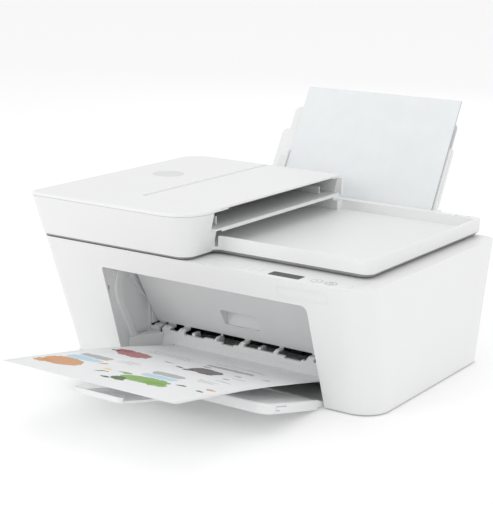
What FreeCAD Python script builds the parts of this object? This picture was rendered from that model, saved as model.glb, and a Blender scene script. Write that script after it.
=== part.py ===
"""All-in-one inkjet printer with a document feeder on its lid.

Working axes: X across the front (0 at the middle of the base), Y towards the rear (0 at the front edge of
the base's top), Z up from the desk. Every shape is moved at the end so that the origin is the middle of the
whole object's footprint, on the desk. Millimetres.
"""
import FreeCAD, Part
import math
import os
from FreeCAD import Vector

# ---------------------------------------------------------------- driving dimensions
BASE_TOP_Z = 148.0           # top of the base, below the lid
BASE_BOTTOM_Z = 1.5          # the base stands on feet this thick
BASE_HALF_TOP = 211.0        # half width of the base at its top
BASE_HALF_BOTTOM = 202.4     # half width at the desk: the sides draw in
BASE_FRONT_BOTTOM_Y = 48.8   # the front leans forward: it is at Y 0 at the top
BASE_REAR_TOP_Y = 315.0
BASE_REAR_BOTTOM_Y = 301.0
WALL = 2.5
BAY_LEFT_X = -130.0          # the output bay's opening
BAY_RIGHT_X = 142.0
BAY_TOP_Z = 121.0
BAY_TOP_TAPER = 3.0           # the opening is this much narrower at its top right
LID_BOTTOM_Z = 149.5
LID_RIM_Z = 168.6            # top of the rim round the catch basin
LID_FLOOR_Z = 157.0
LID_RIGHT_X = 190.4
LID_FRONT_Y = 48.0
LID_REAR_Y = 317.0
LID_AXIS = (312.5, 165.5)    # Y, Z of the lid's hinge line
FEEDER_TOP_Z = 200.5
FEEDER_SEAM_Z = 197.0        # the cover sits on the feeder body here
FEEDER_RIGHT_X = 7.0
PAPER_LEFT_X = -94.0
PAPER_WIDTH = 216.0
PAPER_LENGTH = 279.0
PAPER_LEAN = 28.9            # degrees the loaded paper leans back
PAPER_FOOT = (321.0, 168.6)  # Y, Z of a point on the loaded paper's front face
TRAY_PITCH = 13.5            # degrees the output tray rises towards its front
TRAY_AXIS = (52.0, 3.5)      # Y, Z of the output tray's hinge line
DOOR_AXIS = (72.0, 106.0)    # Y, Z of the cartridge door's hinge line
SHEET_PLANE_Z = 12.7         # the paper passes through the print zone at this height
RUN_FIT = 0.05               # radial clearance of a shaft in its bore
GAP = 0.3                    # clearance between parts that move past each other

PAPER_RIGHT_X = PAPER_LEFT_X + PAPER_WIDTH
X_AXIS = Vector(1, 0, 0)
Y_AXIS = Vector(0, 1, 0)
Z_AXIS = Vector(0, 0, 1)


# ---------------------------------------------------------------- small helpers
def box(x0, x1, y0, y1, z0, z1):
    return Part.makeBox(x1 - x0, y1 - y0, z1 - z0, Vector(x0, y0, z0))


def rod_x(x0, x1, y, z, radius):
    return Part.makeCylinder(radius, x1 - x0, Vector(x0, y, z), X_AXIS)


def rod_y(y0, y1, x, z, radius):
    return Part.makeCylinder(radius, y1 - y0, Vector(x, y0, z), Y_AXIS)


def rod_z(z0, z1, x, y, radius):
    return Part.makeCylinder(radius, z1 - z0, Vector(x, y, z0), Z_AXIS)


def rounded_wire(corners, place):
    """A closed outline of (u, v, radius) corners, joined by straight runs and arcs; place makes (u, v) 3-D."""
    count = len(corners)
    arcs = []
    for i, (u, v, radius) in enumerate(corners):
        before = Vector(*corners[i - 1][:2], 0)
        after = Vector(*corners[(i + 1) % count][:2], 0)
        here = Vector(u, v, 0)
        to_before = (before - here).normalize()
        to_after = (after - here).normalize()
        half = to_before.getAngle(to_after) / 2
        if radius <= 0:
            arcs.append((here, None, here))
            continue
        reach = radius / math.tan(half)
        bisector = (to_before + to_after).normalize()
        middle = here + bisector * (radius / math.sin(half) - radius)
        arcs.append((here + to_before * reach, middle, here + to_after * reach))
    edges = []
    for i, (start, middle, end) in enumerate(arcs):
        if middle is not None:
            edges.append(Part.Arc(place(start), place(middle), place(end)).toShape())
        following = arcs[(i + 1) % count][0]
        if end.distanceToPoint(following) > 1e-6:
            edges.append(Part.LineSegment(place(end), place(following)).toShape())
    return Part.Wire(edges)


def outline_at(z, corners):
    return rounded_wire(corners, lambda p: Vector(p.x, p.y, z))


def prism_z(corners, z0, z1):
    return Part.Face(outline_at(z0, corners)).extrude(Vector(0, 0, z1 - z0))


def prism_x(corners, x0, x1):
    """Corners are (y, z) or (y, z, radius)."""
    full = [tuple(c) + (0,) * (3 - len(c)) for c in corners]
    wire = rounded_wire(full, lambda p: Vector(x0, p.x, p.y))
    return Part.Face(wire).extrude(Vector(x1 - x0, 0, 0))


def prism_y(corners, y0, y1):
    """Corners are (x, z) or (x, z, radius)."""
    full = [tuple(c) + (0,) * (3 - len(c)) for c in corners]
    wire = rounded_wire(full, lambda p: Vector(p.x, y0, p.y))
    return Part.Face(wire).extrude(Vector(0, y1 - y0, 0))


def loft(*wires):
    return Part.makeLoft(list(wires), True, True)


def fused(*shapes):
    whole = shapes[0]
    if len(shapes) > 1:
        whole = whole.fuse(list(shapes[1:]))
    return whole.removeSplitter()


def group(shapes):
    return Part.makeCompound(list(shapes))


def rect(x0, x1, y0, y1, front_left, front_right, rear_right, rear_left):
    return [(x0, y0, front_left), (x1, y0, front_right), (x1, y1, rear_right), (x0, y1, rear_left)]


def belt_loop(first, second, third, thickness, slack, place):
    """A flat belt round two or three pulleys, each (u, v, radius), as the difference of two hulls."""
    circles = [c for c in (first, second, third) if c]

    def hull(extra):
        solid = None
        for i, start in enumerate(circles):
            end = circles[(i + 1) % len(circles)]
            for u, v, radius in (start, end):
                disc = place(u, v, radius + extra, None)
                solid = disc if solid is None else solid.fuse(disc)
            solid = solid.fuse(place(start, end, extra, "strip"))
        if len(circles) == 3:
            solid = solid.fuse(place(circles[0], circles[1], circles[2], "fill"))
        return solid

    return hull(slack + thickness).cut(hull(slack)).removeSplitter()


# ---------------------------------------------------------------- base
def base_front_y(z):
    return BASE_FRONT_BOTTOM_Y * (1 - z / BASE_TOP_Z)


def base_rear_y(z):
    return BASE_REAR_BOTTOM_Y + (BASE_REAR_TOP_Y - BASE_REAR_BOTTOM_Y) * z / BASE_TOP_Z


def base_half(z):
    return BASE_HALF_BOTTOM + (BASE_HALF_TOP - BASE_HALF_BOTTOM) * z / BASE_TOP_Z


def base_outline(z, inset):
    half = base_half(z) - inset
    front = base_front_y(z) + inset
    rear = base_rear_y(z) - inset
    return outline_at(z, rect(-half, half, front, rear, 12 - inset, 31 - inset, 14 - inset, 14 - inset))


FRONT_SKIN = 2.6             # the leaning front wall, measured along Y
GLASS = (-150, 150, 69, 287)     # opening over the scanner glass
STRIP = (-174, -162, 69, 287)    # opening over the feeder's scan strip
PANEL_X = (3, 195)
PANEL_Y = (4, 45)
PANEL_DEPTH = 1.4
BUTTONS = ((147.5, 15), (164.3, 15))
BUTTON_RADIUS = 6.75
SCREW_PLACES = ((-188, 80), (188, 80), (-188, 276), (188, 276))


def panel_plan(inset):
    corners = rect(PANEL_X[0], PANEL_X[1], PANEL_Y[0], PANEL_Y[1], 3, 24, 3, 3)
    if not inset:
        return corners
    return rect(PANEL_X[0] + inset, PANEL_X[1] - inset, PANEL_Y[0] + inset, PANEL_Y[1] - inset,
                3 - inset, 24 - inset, 3 - inset, 3 - inset)


def throat_cut():
    """The slot in the top and rear of the base that the loaded paper goes down."""
    return box(-106, 136, 299, 330, 137, 160)


def bay_cut(grow):
    corners = [
        (BAY_LEFT_X - grow, -5, 0),
        (BAY_RIGHT_X + grow, -5, 0),
        (BAY_RIGHT_X - BAY_TOP_TAPER + grow, BAY_TOP_Z + grow, 7),
        (BAY_LEFT_X - grow, BAY_TOP_Z + grow, 3),
    ]
    return prism_y(corners, -20, 62)


def base_shell():
    outer = loft(base_outline(BASE_BOTTOM_Z, 0), base_outline(BASE_TOP_Z, 0))
    inner = loft(base_outline(BASE_BOTTOM_Z, WALL), base_outline(BASE_TOP_Z - WALL, WALL))
    shell = outer.cut(inner)
    for x, y in SCREW_PLACES:
        side = 1 if x > 0 else -1
        lug = box(min(x - 6, x + side * 18), max(x + 6, x + side * 18), y - 6, y + 6, 3.6, 18)
        lug = lug.common(loft(base_outline(BASE_BOTTOM_Z, 1), base_outline(BASE_TOP_Z, 1)))
        shell = shell.fuse(lug).cut(rod_z(0, 14, x, y, SCREW_RADIUS + RUN_FIT))
    shell = shell.cut(bay_cut(0))
    shell = shell.cut(box(*GLASS, BASE_TOP_Z - 4, BASE_TOP_Z + 1))
    shell = shell.cut(box(*STRIP, BASE_TOP_Z - 4, BASE_TOP_Z + 1))
    shell = shell.cut(prism_z(panel_plan(0), BASE_TOP_Z - PANEL_DEPTH, BASE_TOP_Z + 1))
    for x, y in BUTTONS:
        shell = shell.cut(rod_z(BASE_TOP_Z - 5, BASE_TOP_Z, x, y, 4))
    shell = shell.cut(throat_cut())
    shell = shell.cut(box(*INLET_X, 290, 320, *INLET_Z))
    shell = shell.cut(box(*PORT_X, 290, 320, *PORT_Z))
    return fused(shell, nameplate_rim())


PAN_TOP_Z = 3.2
SCREW_RADIUS = 1.5
FOOT_RADIUS = 9
FOOT_PLACES = ((-172, 74), (172, 74), (-172, 282), (172, 282))
INLET_X = (-178, -154)
INLET_Z = (18, 34)
PORT_X = (-112, -98)
PORT_Z = (20, 32)


def bottom_pan():
    inner = loft(base_outline(BASE_BOTTOM_Z, WALL + GAP), base_outline(PAN_TOP_Z, WALL + GAP))
    pan = inner.cut(box(BAY_LEFT_X - 3, BAY_RIGHT_X + 3, 0, 62, 0, 5))
    for x, y in SCREW_PLACES:
        pan = pan.cut(rod_z(0, 5, x, y, SCREW_RADIUS + RUN_FIT))
        pan = pan.cut(rod_z(0, BASE_BOTTOM_Z + 0.8, x, y, 3.1))
    return pan


def rubber_feet():
    return group([rod_z(0, BASE_BOTTOM_Z, x, y, FOOT_RADIUS) for x, y in FOOT_PLACES])


def case_screws():
    screws = []
    for x, y in SCREW_PLACES:
        head = rod_z(BASE_BOTTOM_Z, BASE_BOTTOM_Z + 0.75, x, y, 3)
        screws.append(fused(head, rod_z(BASE_BOTTOM_Z, 13.5, x, y, SCREW_RADIUS)))
    return group(screws)


def control_panel():
    plate = prism_z(panel_plan(0.15), BASE_TOP_Z - PANEL_DEPTH, BASE_TOP_Z)
    plate = plate.cut(prism_z(display_plan(0), BASE_TOP_Z - 1, BASE_TOP_Z + 1))
    for x, y in BUTTONS:
        plate = plate.cut(rod_z(BASE_TOP_Z - 5, BASE_TOP_Z + 1, x, y, BUTTON_RADIUS + 0.35))
    return plate


def display_plan(inset):
    return rect(91 + inset, 129 - inset, 8.5 + inset, 23.5 - inset, 2, 2, 2, 2)


def display_window():
    return prism_z(display_plan(0.1), BASE_TOP_Z - 1, BASE_TOP_Z)


BUTTON_TRAVEL = 0.6


def push_button(place):
    x, y = place
    cap = rod_z(BASE_TOP_Z - PANEL_DEPTH + BUTTON_TRAVEL + 0.2, BASE_TOP_Z + 0.5, x, y, BUTTON_RADIUS)
    cap = cap.makeFillet(0.35, [cap.Edges[0]])
    stem = rod_z(PANEL_BOARD_Z + 1.6 + BUTTON_TRAVEL + 0.2, BASE_TOP_Z - 0.5, x, y, 3)
    return fused(cap, stem)


PANEL_BOARD_Z = 138


def panel_board():
    board = box(60, 184, 14, 42, PANEL_BOARD_Z, PANEL_BOARD_Z + 1.6)
    posts = [rod_z(PANEL_BOARD_Z + 1.6, BASE_TOP_Z - WALL, x, 38, 2.5) for x in (66, 120, 178)]
    return fused(board, *posts)


def nameplate_rim():
    """A blank raised rim on the leaning front of the base."""
    outer = [(105, 128, 2), (166, 128, 2), (166, 140.5, 4), (105, 140.5, 4)]
    inner = [(106.2, 129.2, 1), (164.8, 129.2, 1), (164.8, 139.3, 3), (106.2, 139.3, 3)]
    ring = prism_y(outer, -20, 40).cut(prism_y(inner, -21, 41))
    low, high = 125, 143
    proud = 0.5
    sunk = 0.3
    skin = prism_x([(base_front_y(low) - proud, low), (base_front_y(low) + sunk, low),
                    (base_front_y(high) + sunk, high), (base_front_y(high) - proud, high)], 100, 170)
    return ring.common(skin)


LINER = 2.2
TRAY_PIN = 1.6               # radius of the output tray's hinge pins
DOOR_PIN = 2.0


RIB_RISE = 2.4
POCKET_DEPTH = 4.0


def bay_rib(x0, x1):
    """A rounded rib that curves down a side wall and guides the edge of the page."""
    rib = prism_x([(36, 116, 3), (31.5, 92, 30), (34, 78, 30), (45, 58, 40), (64, 22, 3), (74.5, 22, 3),
                   (56, 58, 40), (46, 77, 30), (44.5, 92, 30), (46.5, 116, 3)], x0, x1)
    proud = x1 if x0 < 0 else x0
    crest = [e for e in rib.Edges if abs(e.BoundBox.XMin - proud) < 0.01 and abs(e.BoundBox.XMax - proud) < 0.01]
    return rib.makeFillet(1.8, crest)


def bay_liner():
    """Side walls and roof of the output bay, with a raised curved rib on each side wall."""
    wall_outline = [
        (base_front_y(BAY_TOP_Z) + FRONT_SKIN, BAY_TOP_Z + LINER),
        (base_front_y(BASE_BOTTOM_Z) + FRONT_SKIN, BASE_BOTTOM_Z),
        (62, BASE_BOTTOM_Z),
        (62, PAN_TOP_Z),
        (100.7, PAN_TOP_Z),
        (100.7, 100),
        (78, 115.5),
        (61.5, 115.5),
        (61.5, BAY_TOP_Z + LINER),
    ]
    left = prism_x(wall_outline, BAY_LEFT_X - LINER, BAY_LEFT_X)
    right = prism_x(wall_outline, BAY_RIGHT_X, BAY_RIGHT_X + LINER)
    roof = box(BAY_LEFT_X - LINER, BAY_RIGHT_X + LINER, base_front_y(BAY_TOP_Z) + FRONT_SKIN, 60,
               BAY_TOP_Z, BAY_TOP_Z + LINER)
    fascia = prism_x([(door_face_y(110.5), 110.5), (door_face_y(110.5) + 1.4, 110.5),
                      (door_face_y(BAY_TOP_Z) + 1.4, BAY_TOP_Z), (door_face_y(BAY_TOP_Z), BAY_TOP_Z)],
                     BAY_LEFT_X, BAY_RIGHT_X)
    left_rib = bay_rib(BAY_LEFT_X, BAY_LEFT_X + RIB_RISE)
    right_rib = bay_rib(BAY_RIGHT_X - RIB_RISE, BAY_RIGHT_X)
    pocket_wall = prism_x([(44.8, 114.2, 3), (43.3, 90, 22), (46, 75, 22), (56, 56, 32), (73.5, 20.8, 4),
                           (100.2, 20.8, 4), (100.2, 63, 3), (64.2, 99, 3), (64.2, 114.2, 3)],
                          BAY_LEFT_X - POCKET_DEPTH - LINER, BAY_LEFT_X)
    pocket = prism_x([(47, 112, 2), (45.5, 90, 20), (48, 76, 20), (58, 57, 30), (75, 23, 3),
                      (98, 23, 3), (98, 62, 2), (62, 98, 2), (62, 112, 2)],
                     BAY_LEFT_X - POCKET_DEPTH, BAY_LEFT_X + 0.01)
    peg = rod_x(BAY_LEFT_X, BAY_LEFT_X + RIB_RISE, 29.5, 110, 2.6)
    liner = fused(left, right, roof, fascia, pocket_wall, peg).cut(pocket)
    liner = fused(liner, left_rib, right_rib)
    liner = liner.cut(box(BAY_LEFT_X - 3, BAY_LEFT_X + 1, 20.9, 23.1, 90, 96.5))
    for axis, radius in ((TRAY_AXIS, TRAY_PIN), (DOOR_AXIS, DOOR_PIN)):
        liner = liner.cut(rod_x(-140, 150, *axis, radius + RUN_FIT))
    return liner


# ---------------------------------------------------------------- cartridge door
DOOR_SLOPE = 0.609
DOOR_THICK = 2.4
DOOR_TOP_Z = 108.5
DOOR_BOTTOM_Z = 36.0
DOOR_SWEEP = 79.0             # the lower edge is rounded to this radius about the hinge


def door_face_y(z):
    return 69.6 + DOOR_SLOPE * (100 - z)


def cartridge_door():
    lean = math.hypot(1, DOOR_SLOPE)
    across = DOOR_THICK * lean
    panel = prism_x([(door_face_y(DOOR_TOP_Z), DOOR_TOP_Z, 0.8), (door_face_y(DOOR_BOTTOM_Z), DOOR_BOTTOM_Z, 0.8),
                     (door_face_y(DOOR_BOTTOM_Z) + across, DOOR_BOTTOM_Z, 0.8),
                     (door_face_y(DOOR_TOP_Z) + across, DOOR_TOP_Z, 0.8)], -127, 139)
    panel = panel.common(rod_x(-128, 140, *DOOR_AXIS, DOOR_SWEEP))
    low, high = 52, 72
    back = door_face_y(low) + 1
    pocket_mouth = [(-22, low, 3), (26, low, 3), (26, high, 3), (-22, high, 3)]
    cup = prism_x([(door_face_y(high + 3) + 0.5, high + 3), (door_face_y(low - 2) + 0.5, low - 2),
                   (back + 5, low - 2), (back + 5, high + 3)], -25, 29)
    hollow = prism_y(pocket_mouth, 60, back + 2.6)
    hinge = [fused(rod_x(x0, x1, *DOOR_AXIS, 3.4), box(x0, x1, 68, DOOR_AXIS[0], 103, 108))
             for x0, x1 in ((-127, -119), (131, 139))]
    pins = [rod_x(BAY_LEFT_X - LINER, -120, *DOOR_AXIS, DOOR_PIN),
            rod_x(132, BAY_RIGHT_X + LINER, *DOOR_AXIS, DOOR_PIN)]
    return fused(panel, cup, *hinge, *pins).cut(hollow)


# ---------------------------------------------------------------- output side
def tray_frame(shape):
    """From the tray's own frame (x, distance forward of the hinge as -y, height as z) to its sloping place."""
    placed = shape.copy()
    placed.rotate(Vector(0, 0, 0), X_AXIS, -TRAY_PITCH)
    placed.translate(Vector(0, *TRAY_AXIS))
    return placed


TRAY_UNDER = -5.75           # the tray's underside and wall top, from the hinge line
TRAY_WALL_TOP = 4.8
TRAY_FLOOR = 2.2
TRAY_DECK = 3.4              # the surface that pages land on, from the hinge line
TRAY_FRONT = 118.2
TRAY_X = (-127.0, 139.0)
TRAY_SIDE = 3.0
CLASP_DEPTH = 1.4            # the C-shaped groove in the right side
EXTENDER_X = (-13.0, 46.0)
EXTENDER_FRONT = 233.5
EXTENDER_TRAVEL = 76


def output_tray():
    x0, x1 = TRAY_X
    rear = 12.5
    plan = [(x0, -rear, 0), (x0, -TRAY_FRONT, 14), (x1, -TRAY_FRONT, 14), (x1, -rear, 0)]
    inner = [(x0 + TRAY_SIDE, -rear + 2, 0), (x0 + TRAY_SIDE, -TRAY_FRONT + TRAY_SIDE, 11),
             (x1 - TRAY_SIDE, -TRAY_FRONT + TRAY_SIDE, 11), (x1 - TRAY_SIDE, -rear + 2, 0)]
    body = prism_z(plan, TRAY_UNDER, TRAY_WALL_TOP)
    rim = [e for e in body.Edges if e.BoundBox.ZMin > TRAY_WALL_TOP - 0.01 and e.BoundBox.YMax < -rear - 1]
    body = body.makeFillet(2.2, rim)
    body = body.cut(prism_z(inner, TRAY_DECK, TRAY_WALL_TOP + 1))
    body = body.cut(prism_z(inner, TRAY_UNDER - 1, TRAY_DECK - TRAY_FLOOR))
    arms = []
    for a, b in ((x0, x0 + TRAY_SIDE), (x1 - TRAY_SIDE, x1)):
        arm = prism_x([(-rear - 4, TRAY_UNDER + 2), (-rear - 4, TRAY_WALL_TOP), (-2, 3), (2, 0), (-2, -2.6),
                       (-8, -3)], a, b)
        arms.append(fused(arm, rod_x(a, b, 0, 0, 2.9)))
    pins = [rod_x(BAY_LEFT_X - LINER, x0 + 1, 0, 0, TRAY_PIN), rod_x(x1 - 1, BAY_RIGHT_X + LINER, 0, 0, TRAY_PIN)]
    rails = []
    for edge, side in ((EXTENDER_X[0] - GAP, -1), (EXTENDER_X[1] + GAP, 1)):
        outer = edge + side * 2
        lip = edge - side * 3
        rails.append(box(min(edge, outer), max(edge, outer), -TRAY_FRONT + 4, -24, -8.9, TRAY_DECK - TRAY_FLOOR + 0.1))
        rails.append(box(min(lip, outer), max(lip, outer), -TRAY_FRONT + 4, -TRAY_FRONT + 18, -9.5, -8.5))
    slats = [box(x0 + 1, x1 - 1, y - 0.8, y + 0.8, TRAY_UNDER, TRAY_DECK - TRAY_FLOOR + 0.1) for y in (-90, -62, -34)]
    whole = fused(body, *arms, *pins, *rails, *slats)
    whole = whole.cut(box(x1 - CLASP_DEPTH, x1 + 1, -98, -78, 1.2, 2.2))
    whole = whole.cut(box(x1 - CLASP_DEPTH, x1 + 1, -98, -97, -3, 2.2))
    whole = whole.cut(box(x1 - CLASP_DEPTH, x1 + 1, -98, -90, -3, -2.2))
    return tray_frame(whole)


def tray_extender():
    x0, x1 = EXTENDER_X
    top = TRAY_UNDER - GAP
    under = top - 2.1
    plate = prism_z([(x0, -100, 0), (x0, -EXTENDER_FRONT, 5), (x1, -EXTENDER_FRONT, 5), (x1, -100, 0)], under, top)
    lip = prism_z([(x0, -EXTENDER_FRONT + 4, 0), (x0, -EXTENDER_FRONT, 3.9), (x1, -EXTENDER_FRONT, 3.9),
                   (x1, -EXTENDER_FRONT + 4, 0)], under, top + 3.2)
    grip = prism_z([(4, -200, 6), (4, -218, 6), (29, -218, 6), (29, -200, 6)], top - 0.8, top + 1)
    return tray_frame(fused(plate, lip).cut(grip))


SHEET_CURVE = ((-190, 69.5), (-122, 58.4), (-76, 50.8), (-28, 41.5), (28, 29.5), (47, 25.2))
SHEET_THICK = 0.4


def printed_sheet():
    """The part of the page that lies over the tray; the last 50 mm inside the printer bends freely."""
    def edge(rise):
        curve = Part.BSplineCurve()
        curve.interpolate([Vector(PAPER_LEFT_X, y, z + rise) for y, z in SHEET_CURVE])
        return curve.toShape()
    low = edge(0)
    high = edge(SHEET_THICK)
    front = Part.LineSegment(high.Vertexes[0].Point, low.Vertexes[0].Point).toShape()
    rear = Part.LineSegment(low.Vertexes[-1].Point, high.Vertexes[-1].Point).toShape()
    face = Part.Face(Part.Wire(Part.__sortEdges__([low, rear, high, front])))
    return face.extrude(Vector(PAPER_WIDTH, 0, 0))


EJECT = (112.0, 8.4, 4.2)        # Y, Z and radius of the eject roller
FEED = (158.0, 8.4, 4.2)
WHEEL_PLACES = (-86, -52, -20, 6, 38, 74, 104)


# First and last X of each notch along the exit wall's top, and how low it goes.
EXIT_NOTCHES = ((-117, -113, 22), (-102, -90, 29.5), (-81, -52, 28), (-52, -37, 29.8), (-34.5, -27, 28.5),
                (-27, -11, 26.5), (-11, -3.5, 28.5), (3, 43.5, 29), (48.5, 58, 29), (58, 80, 26.5), (80, 87, 28.5),
                (96, 128, 29))


def exit_guide():
    """Wall over the paper's exit that carries the star wheels, with notches along its top."""
    plate = box(-126.5, 138.5, 101, 103.4, 14.2, 32)
    face = box(BAY_LEFT_X + GAP, BAY_RIGHT_X - GAP, 99.6, 101, 14.2, 31.4)
    skirt = box(BAY_LEFT_X + GAP, BAY_RIGHT_X - GAP, 98.4, 99.6, 14.2, 21)
    roof = box(-126.5, 138.5, 103.4, 113.4, 30.6, 33)
    lip = box(-126.5, 138.5, 112.2, 113.4, 33, 41)
    guide = fused(plate, face, skirt, roof, lip)
    for x0, x1, low in EXIT_NOTCHES:
        guide = guide.cut(box(x0, x1, 95, 118, low, 45))
    hangers = []
    for x in (-70, -36, 22, 90, 120, -108):
        hangers.append(box(x - 2, x + 2, 103.4, EJECT[0] + 3, SHEET_PLANE_Z + 3, 31))
    axle = rod_x(-130, 150, STAR_AXIS[0], STAR_AXIS[1], 1 + RUN_FIT)
    return fused(guide, *hangers).cut(axle)


STAR_RADIUS = 5.0
STAR_AXIS = (EJECT[0], SHEET_PLANE_Z + 0.4 + STAR_RADIUS)


def star_wheels():
    """Thin toothed wheels on one wire axle that hold the wet page down."""
    axle = rod_x(-112, 124, STAR_AXIS[0], STAR_AXIS[1], 1)
    wheels = []
    for x in WHEEL_PLACES:
        for offset in (-2.2, 1.2):
            wheel = rod_x(x + offset, x + offset + 1, *STAR_AXIS, STAR_RADIUS)
            for step in range(12):
                notch = box(x + offset - 1, x + offset + 2, STAR_AXIS[0] - 0.7, STAR_AXIS[0] + 0.7,
                            STAR_AXIS[1] + STAR_RADIUS - 0.9, STAR_AXIS[1] + STAR_RADIUS + 1)
                notch.rotate(Vector(x, *STAR_AXIS), X_AXIS, step * 30)
                wheel = wheel.cut(notch)
            wheels.append(wheel)
    return fused(axle, *wheels)


def platen():
    deck = box(-124, 138, 117.5, 152.5, 9.6, 11.4)
    ribs = [box(x - 0.6, x + 0.6, 118, 152, 11.4, SHEET_PLANE_Z - 0.5) for x in range(-110, 131, 20)]
    legs = [box(x - 3, x + 3, 120, 150, PAN_TOP_Z, 9.6) for x in (-110, -40, 40, 125)]
    return fused(deck, *ribs, *legs)


def drive_roller(axis):
    y, z, radius = axis
    shaft = rod_x(-138, 141, y, z, 2)
    sleeves = [rod_x(x - 8, x + 8, y, z, radius) for x in WHEEL_PLACES]
    pulley = rod_x(-137.5, -132.5, y, z, PULLEY_RADIUS)
    return fused(shaft, *sleeves, pulley)


PULLEY_RADIUS = 3.6
FEED_MOTOR = (205.0, 26.0)


def feed_motor_pulley():
    return fused(rod_x(-137.5, -132.5, *FEED_MOTOR, PULLEY_RADIUS), rod_x(-142, -132.5, *FEED_MOTOR, 1.5))


def feed_motor():
    can = rod_x(-178, -141, *FEED_MOTOR, 15)
    base = box(-176, -143, FEED_MOTOR[0] - 14, FEED_MOTOR[0] + 14, PAN_TOP_Z, FEED_MOTOR[1])
    return fused(can, base).cut(rod_x(-142.5, -140, *FEED_MOTOR, 2.5))


def strip_between(start, end, extra, make):
    (u0, v0, r0), (u1, v1, r1) = start, end
    length = math.hypot(u1 - u0, v1 - v0)
    du, dv = (u1 - u0) / length, (v1 - v0) / length
    r0, r1 = r0 + extra, r1 + extra
    tilt = math.asin((r0 - r1) / length)
    points = []
    for sign, order in ((1, ((u0, v0, r0), (u1, v1, r1))), (-1, ((u1, v1, r1), (u0, v0, r0)))):
        nu = du * math.sin(tilt) - sign * dv * math.cos(tilt)
        nv = dv * math.sin(tilt) + sign * du * math.cos(tilt)
        points += [(u + nu * r, v + nv * r) for u, v, r in order]
    return make(points)


def feed_belt():
    def make(points):
        return prism_x(points, -137, -133)

    def place(a, b, c, kind):
        if kind == "strip":
            return strip_between(a, b, c, make)
        if kind == "fill":
            return make([a[:2], b[:2], c[:2]])
        return rod_x(-137, -133, a, b, c)

    loop = ((EJECT[0], EJECT[1], PULLEY_RADIUS), (FEED[0], FEED[1], PULLEY_RADIUS), (*FEED_MOTOR, PULLEY_RADIUS))
    return belt_loop(*loop, 0.8, 0.15, place)


PINCH_RADIUS = 5.0
PINCH_AXIS = (FEED[0], SHEET_PLANE_Z + 0.3 + PINCH_RADIUS)


def pinch_rollers():
    axle = rod_x(-122, 130, *PINCH_AXIS, 1.5)
    return fused(axle, *[rod_x(x - 9, x + 9, *PINCH_AXIS, PINCH_RADIUS) for x in (-80, -20, 40, 100)])


def pinch_holder():
    """Arms from the chassis rail down to the pinch axle."""
    bar = box(-124, 134, 168.6, 171.4, 20.5, 26)
    arms = []
    for x in (-100, -50, 10, 70, 122):
        arms.append(box(x - 3, x + 3, PINCH_AXIS[0] - 3, 171.4, PINCH_AXIS[1] - 3, PINCH_AXIS[1] + 2.6))
        arms.append(box(x - 3, x + 3, 165, 171.4, PINCH_AXIS[1] - 3, 24))
        arms.append(box(x - 3, x + 3, 170, RAIL_Y, 20.5, 24))
    return fused(bar, *arms).cut(rod_x(-130, 150, *PINCH_AXIS, 1.5 + RUN_FIT))


# ---------------------------------------------------------------- print mechanism
RAIL_Y = 188.0
ROD = (178.0, 36.0, 4.0)
CARRIAGE_X = (148.0, 196.0)
CARRIAGE_HEEL_Z = 25.0       # the rear of the carriage clears the pinch rollers
BELT_Z = 58.0
MOTOR_PULLEY_X = 190.0
IDLER_X = -112.0
CARRIAGE_PULLEY_RADIUS = 5.0


def side_frame(left):
    if left:
        outline = [(105, PAN_TOP_Z), (232, PAN_TOP_Z), (232, 112), (RAIL_Y + 4, 112), (RAIL_Y - 2, 90),
                   (RAIL_Y - 2, 48), (166, 48), (166, 28), (120, 24), (105, 22)]
        frame = prism_x(outline, -131.5, -129.5)
        frame = fused(frame, box(-131.5, -129.5, 101.2, 110, PAN_TOP_Z, 20))
    else:
        outline = [(105, PAN_TOP_Z), (232, PAN_TOP_Z), (232, 112), (RAIL_Y + 4, 112), (RAIL_Y + 2.5, 90),
                   (RAIL_Y + 2.5, 15), (105, 15)]
        frame = prism_x(outline, 139.5, 141.5)
    for y, z, _ in (EJECT, FEED):
        frame = frame.cut(rod_x(-140, 150, y, z, 2 + RUN_FIT))
    return frame


def chassis_rail():
    """Folded steel rail behind the carriage, with a tab at each end for the carriage rod."""
    plate = box(-129.2, 201, RAIL_Y, RAIL_Y + 1.6, 18, 112)
    hook = box(-129.2, 201, RAIL_Y - 6, RAIL_Y, 110.4, 112)
    tabs = []
    for x0, x1 in ((-129.2, -127.6), (199.4, 201)):
        tab = box(x0, x1, 170, RAIL_Y, 28, 44)
        tabs.append(tab.cut(rod_x(x0 - 1, x1 + 1, ROD[0], ROD[1], ROD[2] + 0.02)))
    idler_stud = rod_y(170, RAIL_Y + 0.5, IDLER_X, BELT_Z, 1.5)
    rail = fused(plate, hook, idler_stud, *tabs)
    return rail.cut(rod_y(RAIL_Y - 1, RAIL_Y + 3, MOTOR_PULLEY_X, BELT_Z, 4))


def carriage_rod():
    return rod_x(-129.3, 201.5, *ROD)


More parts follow.
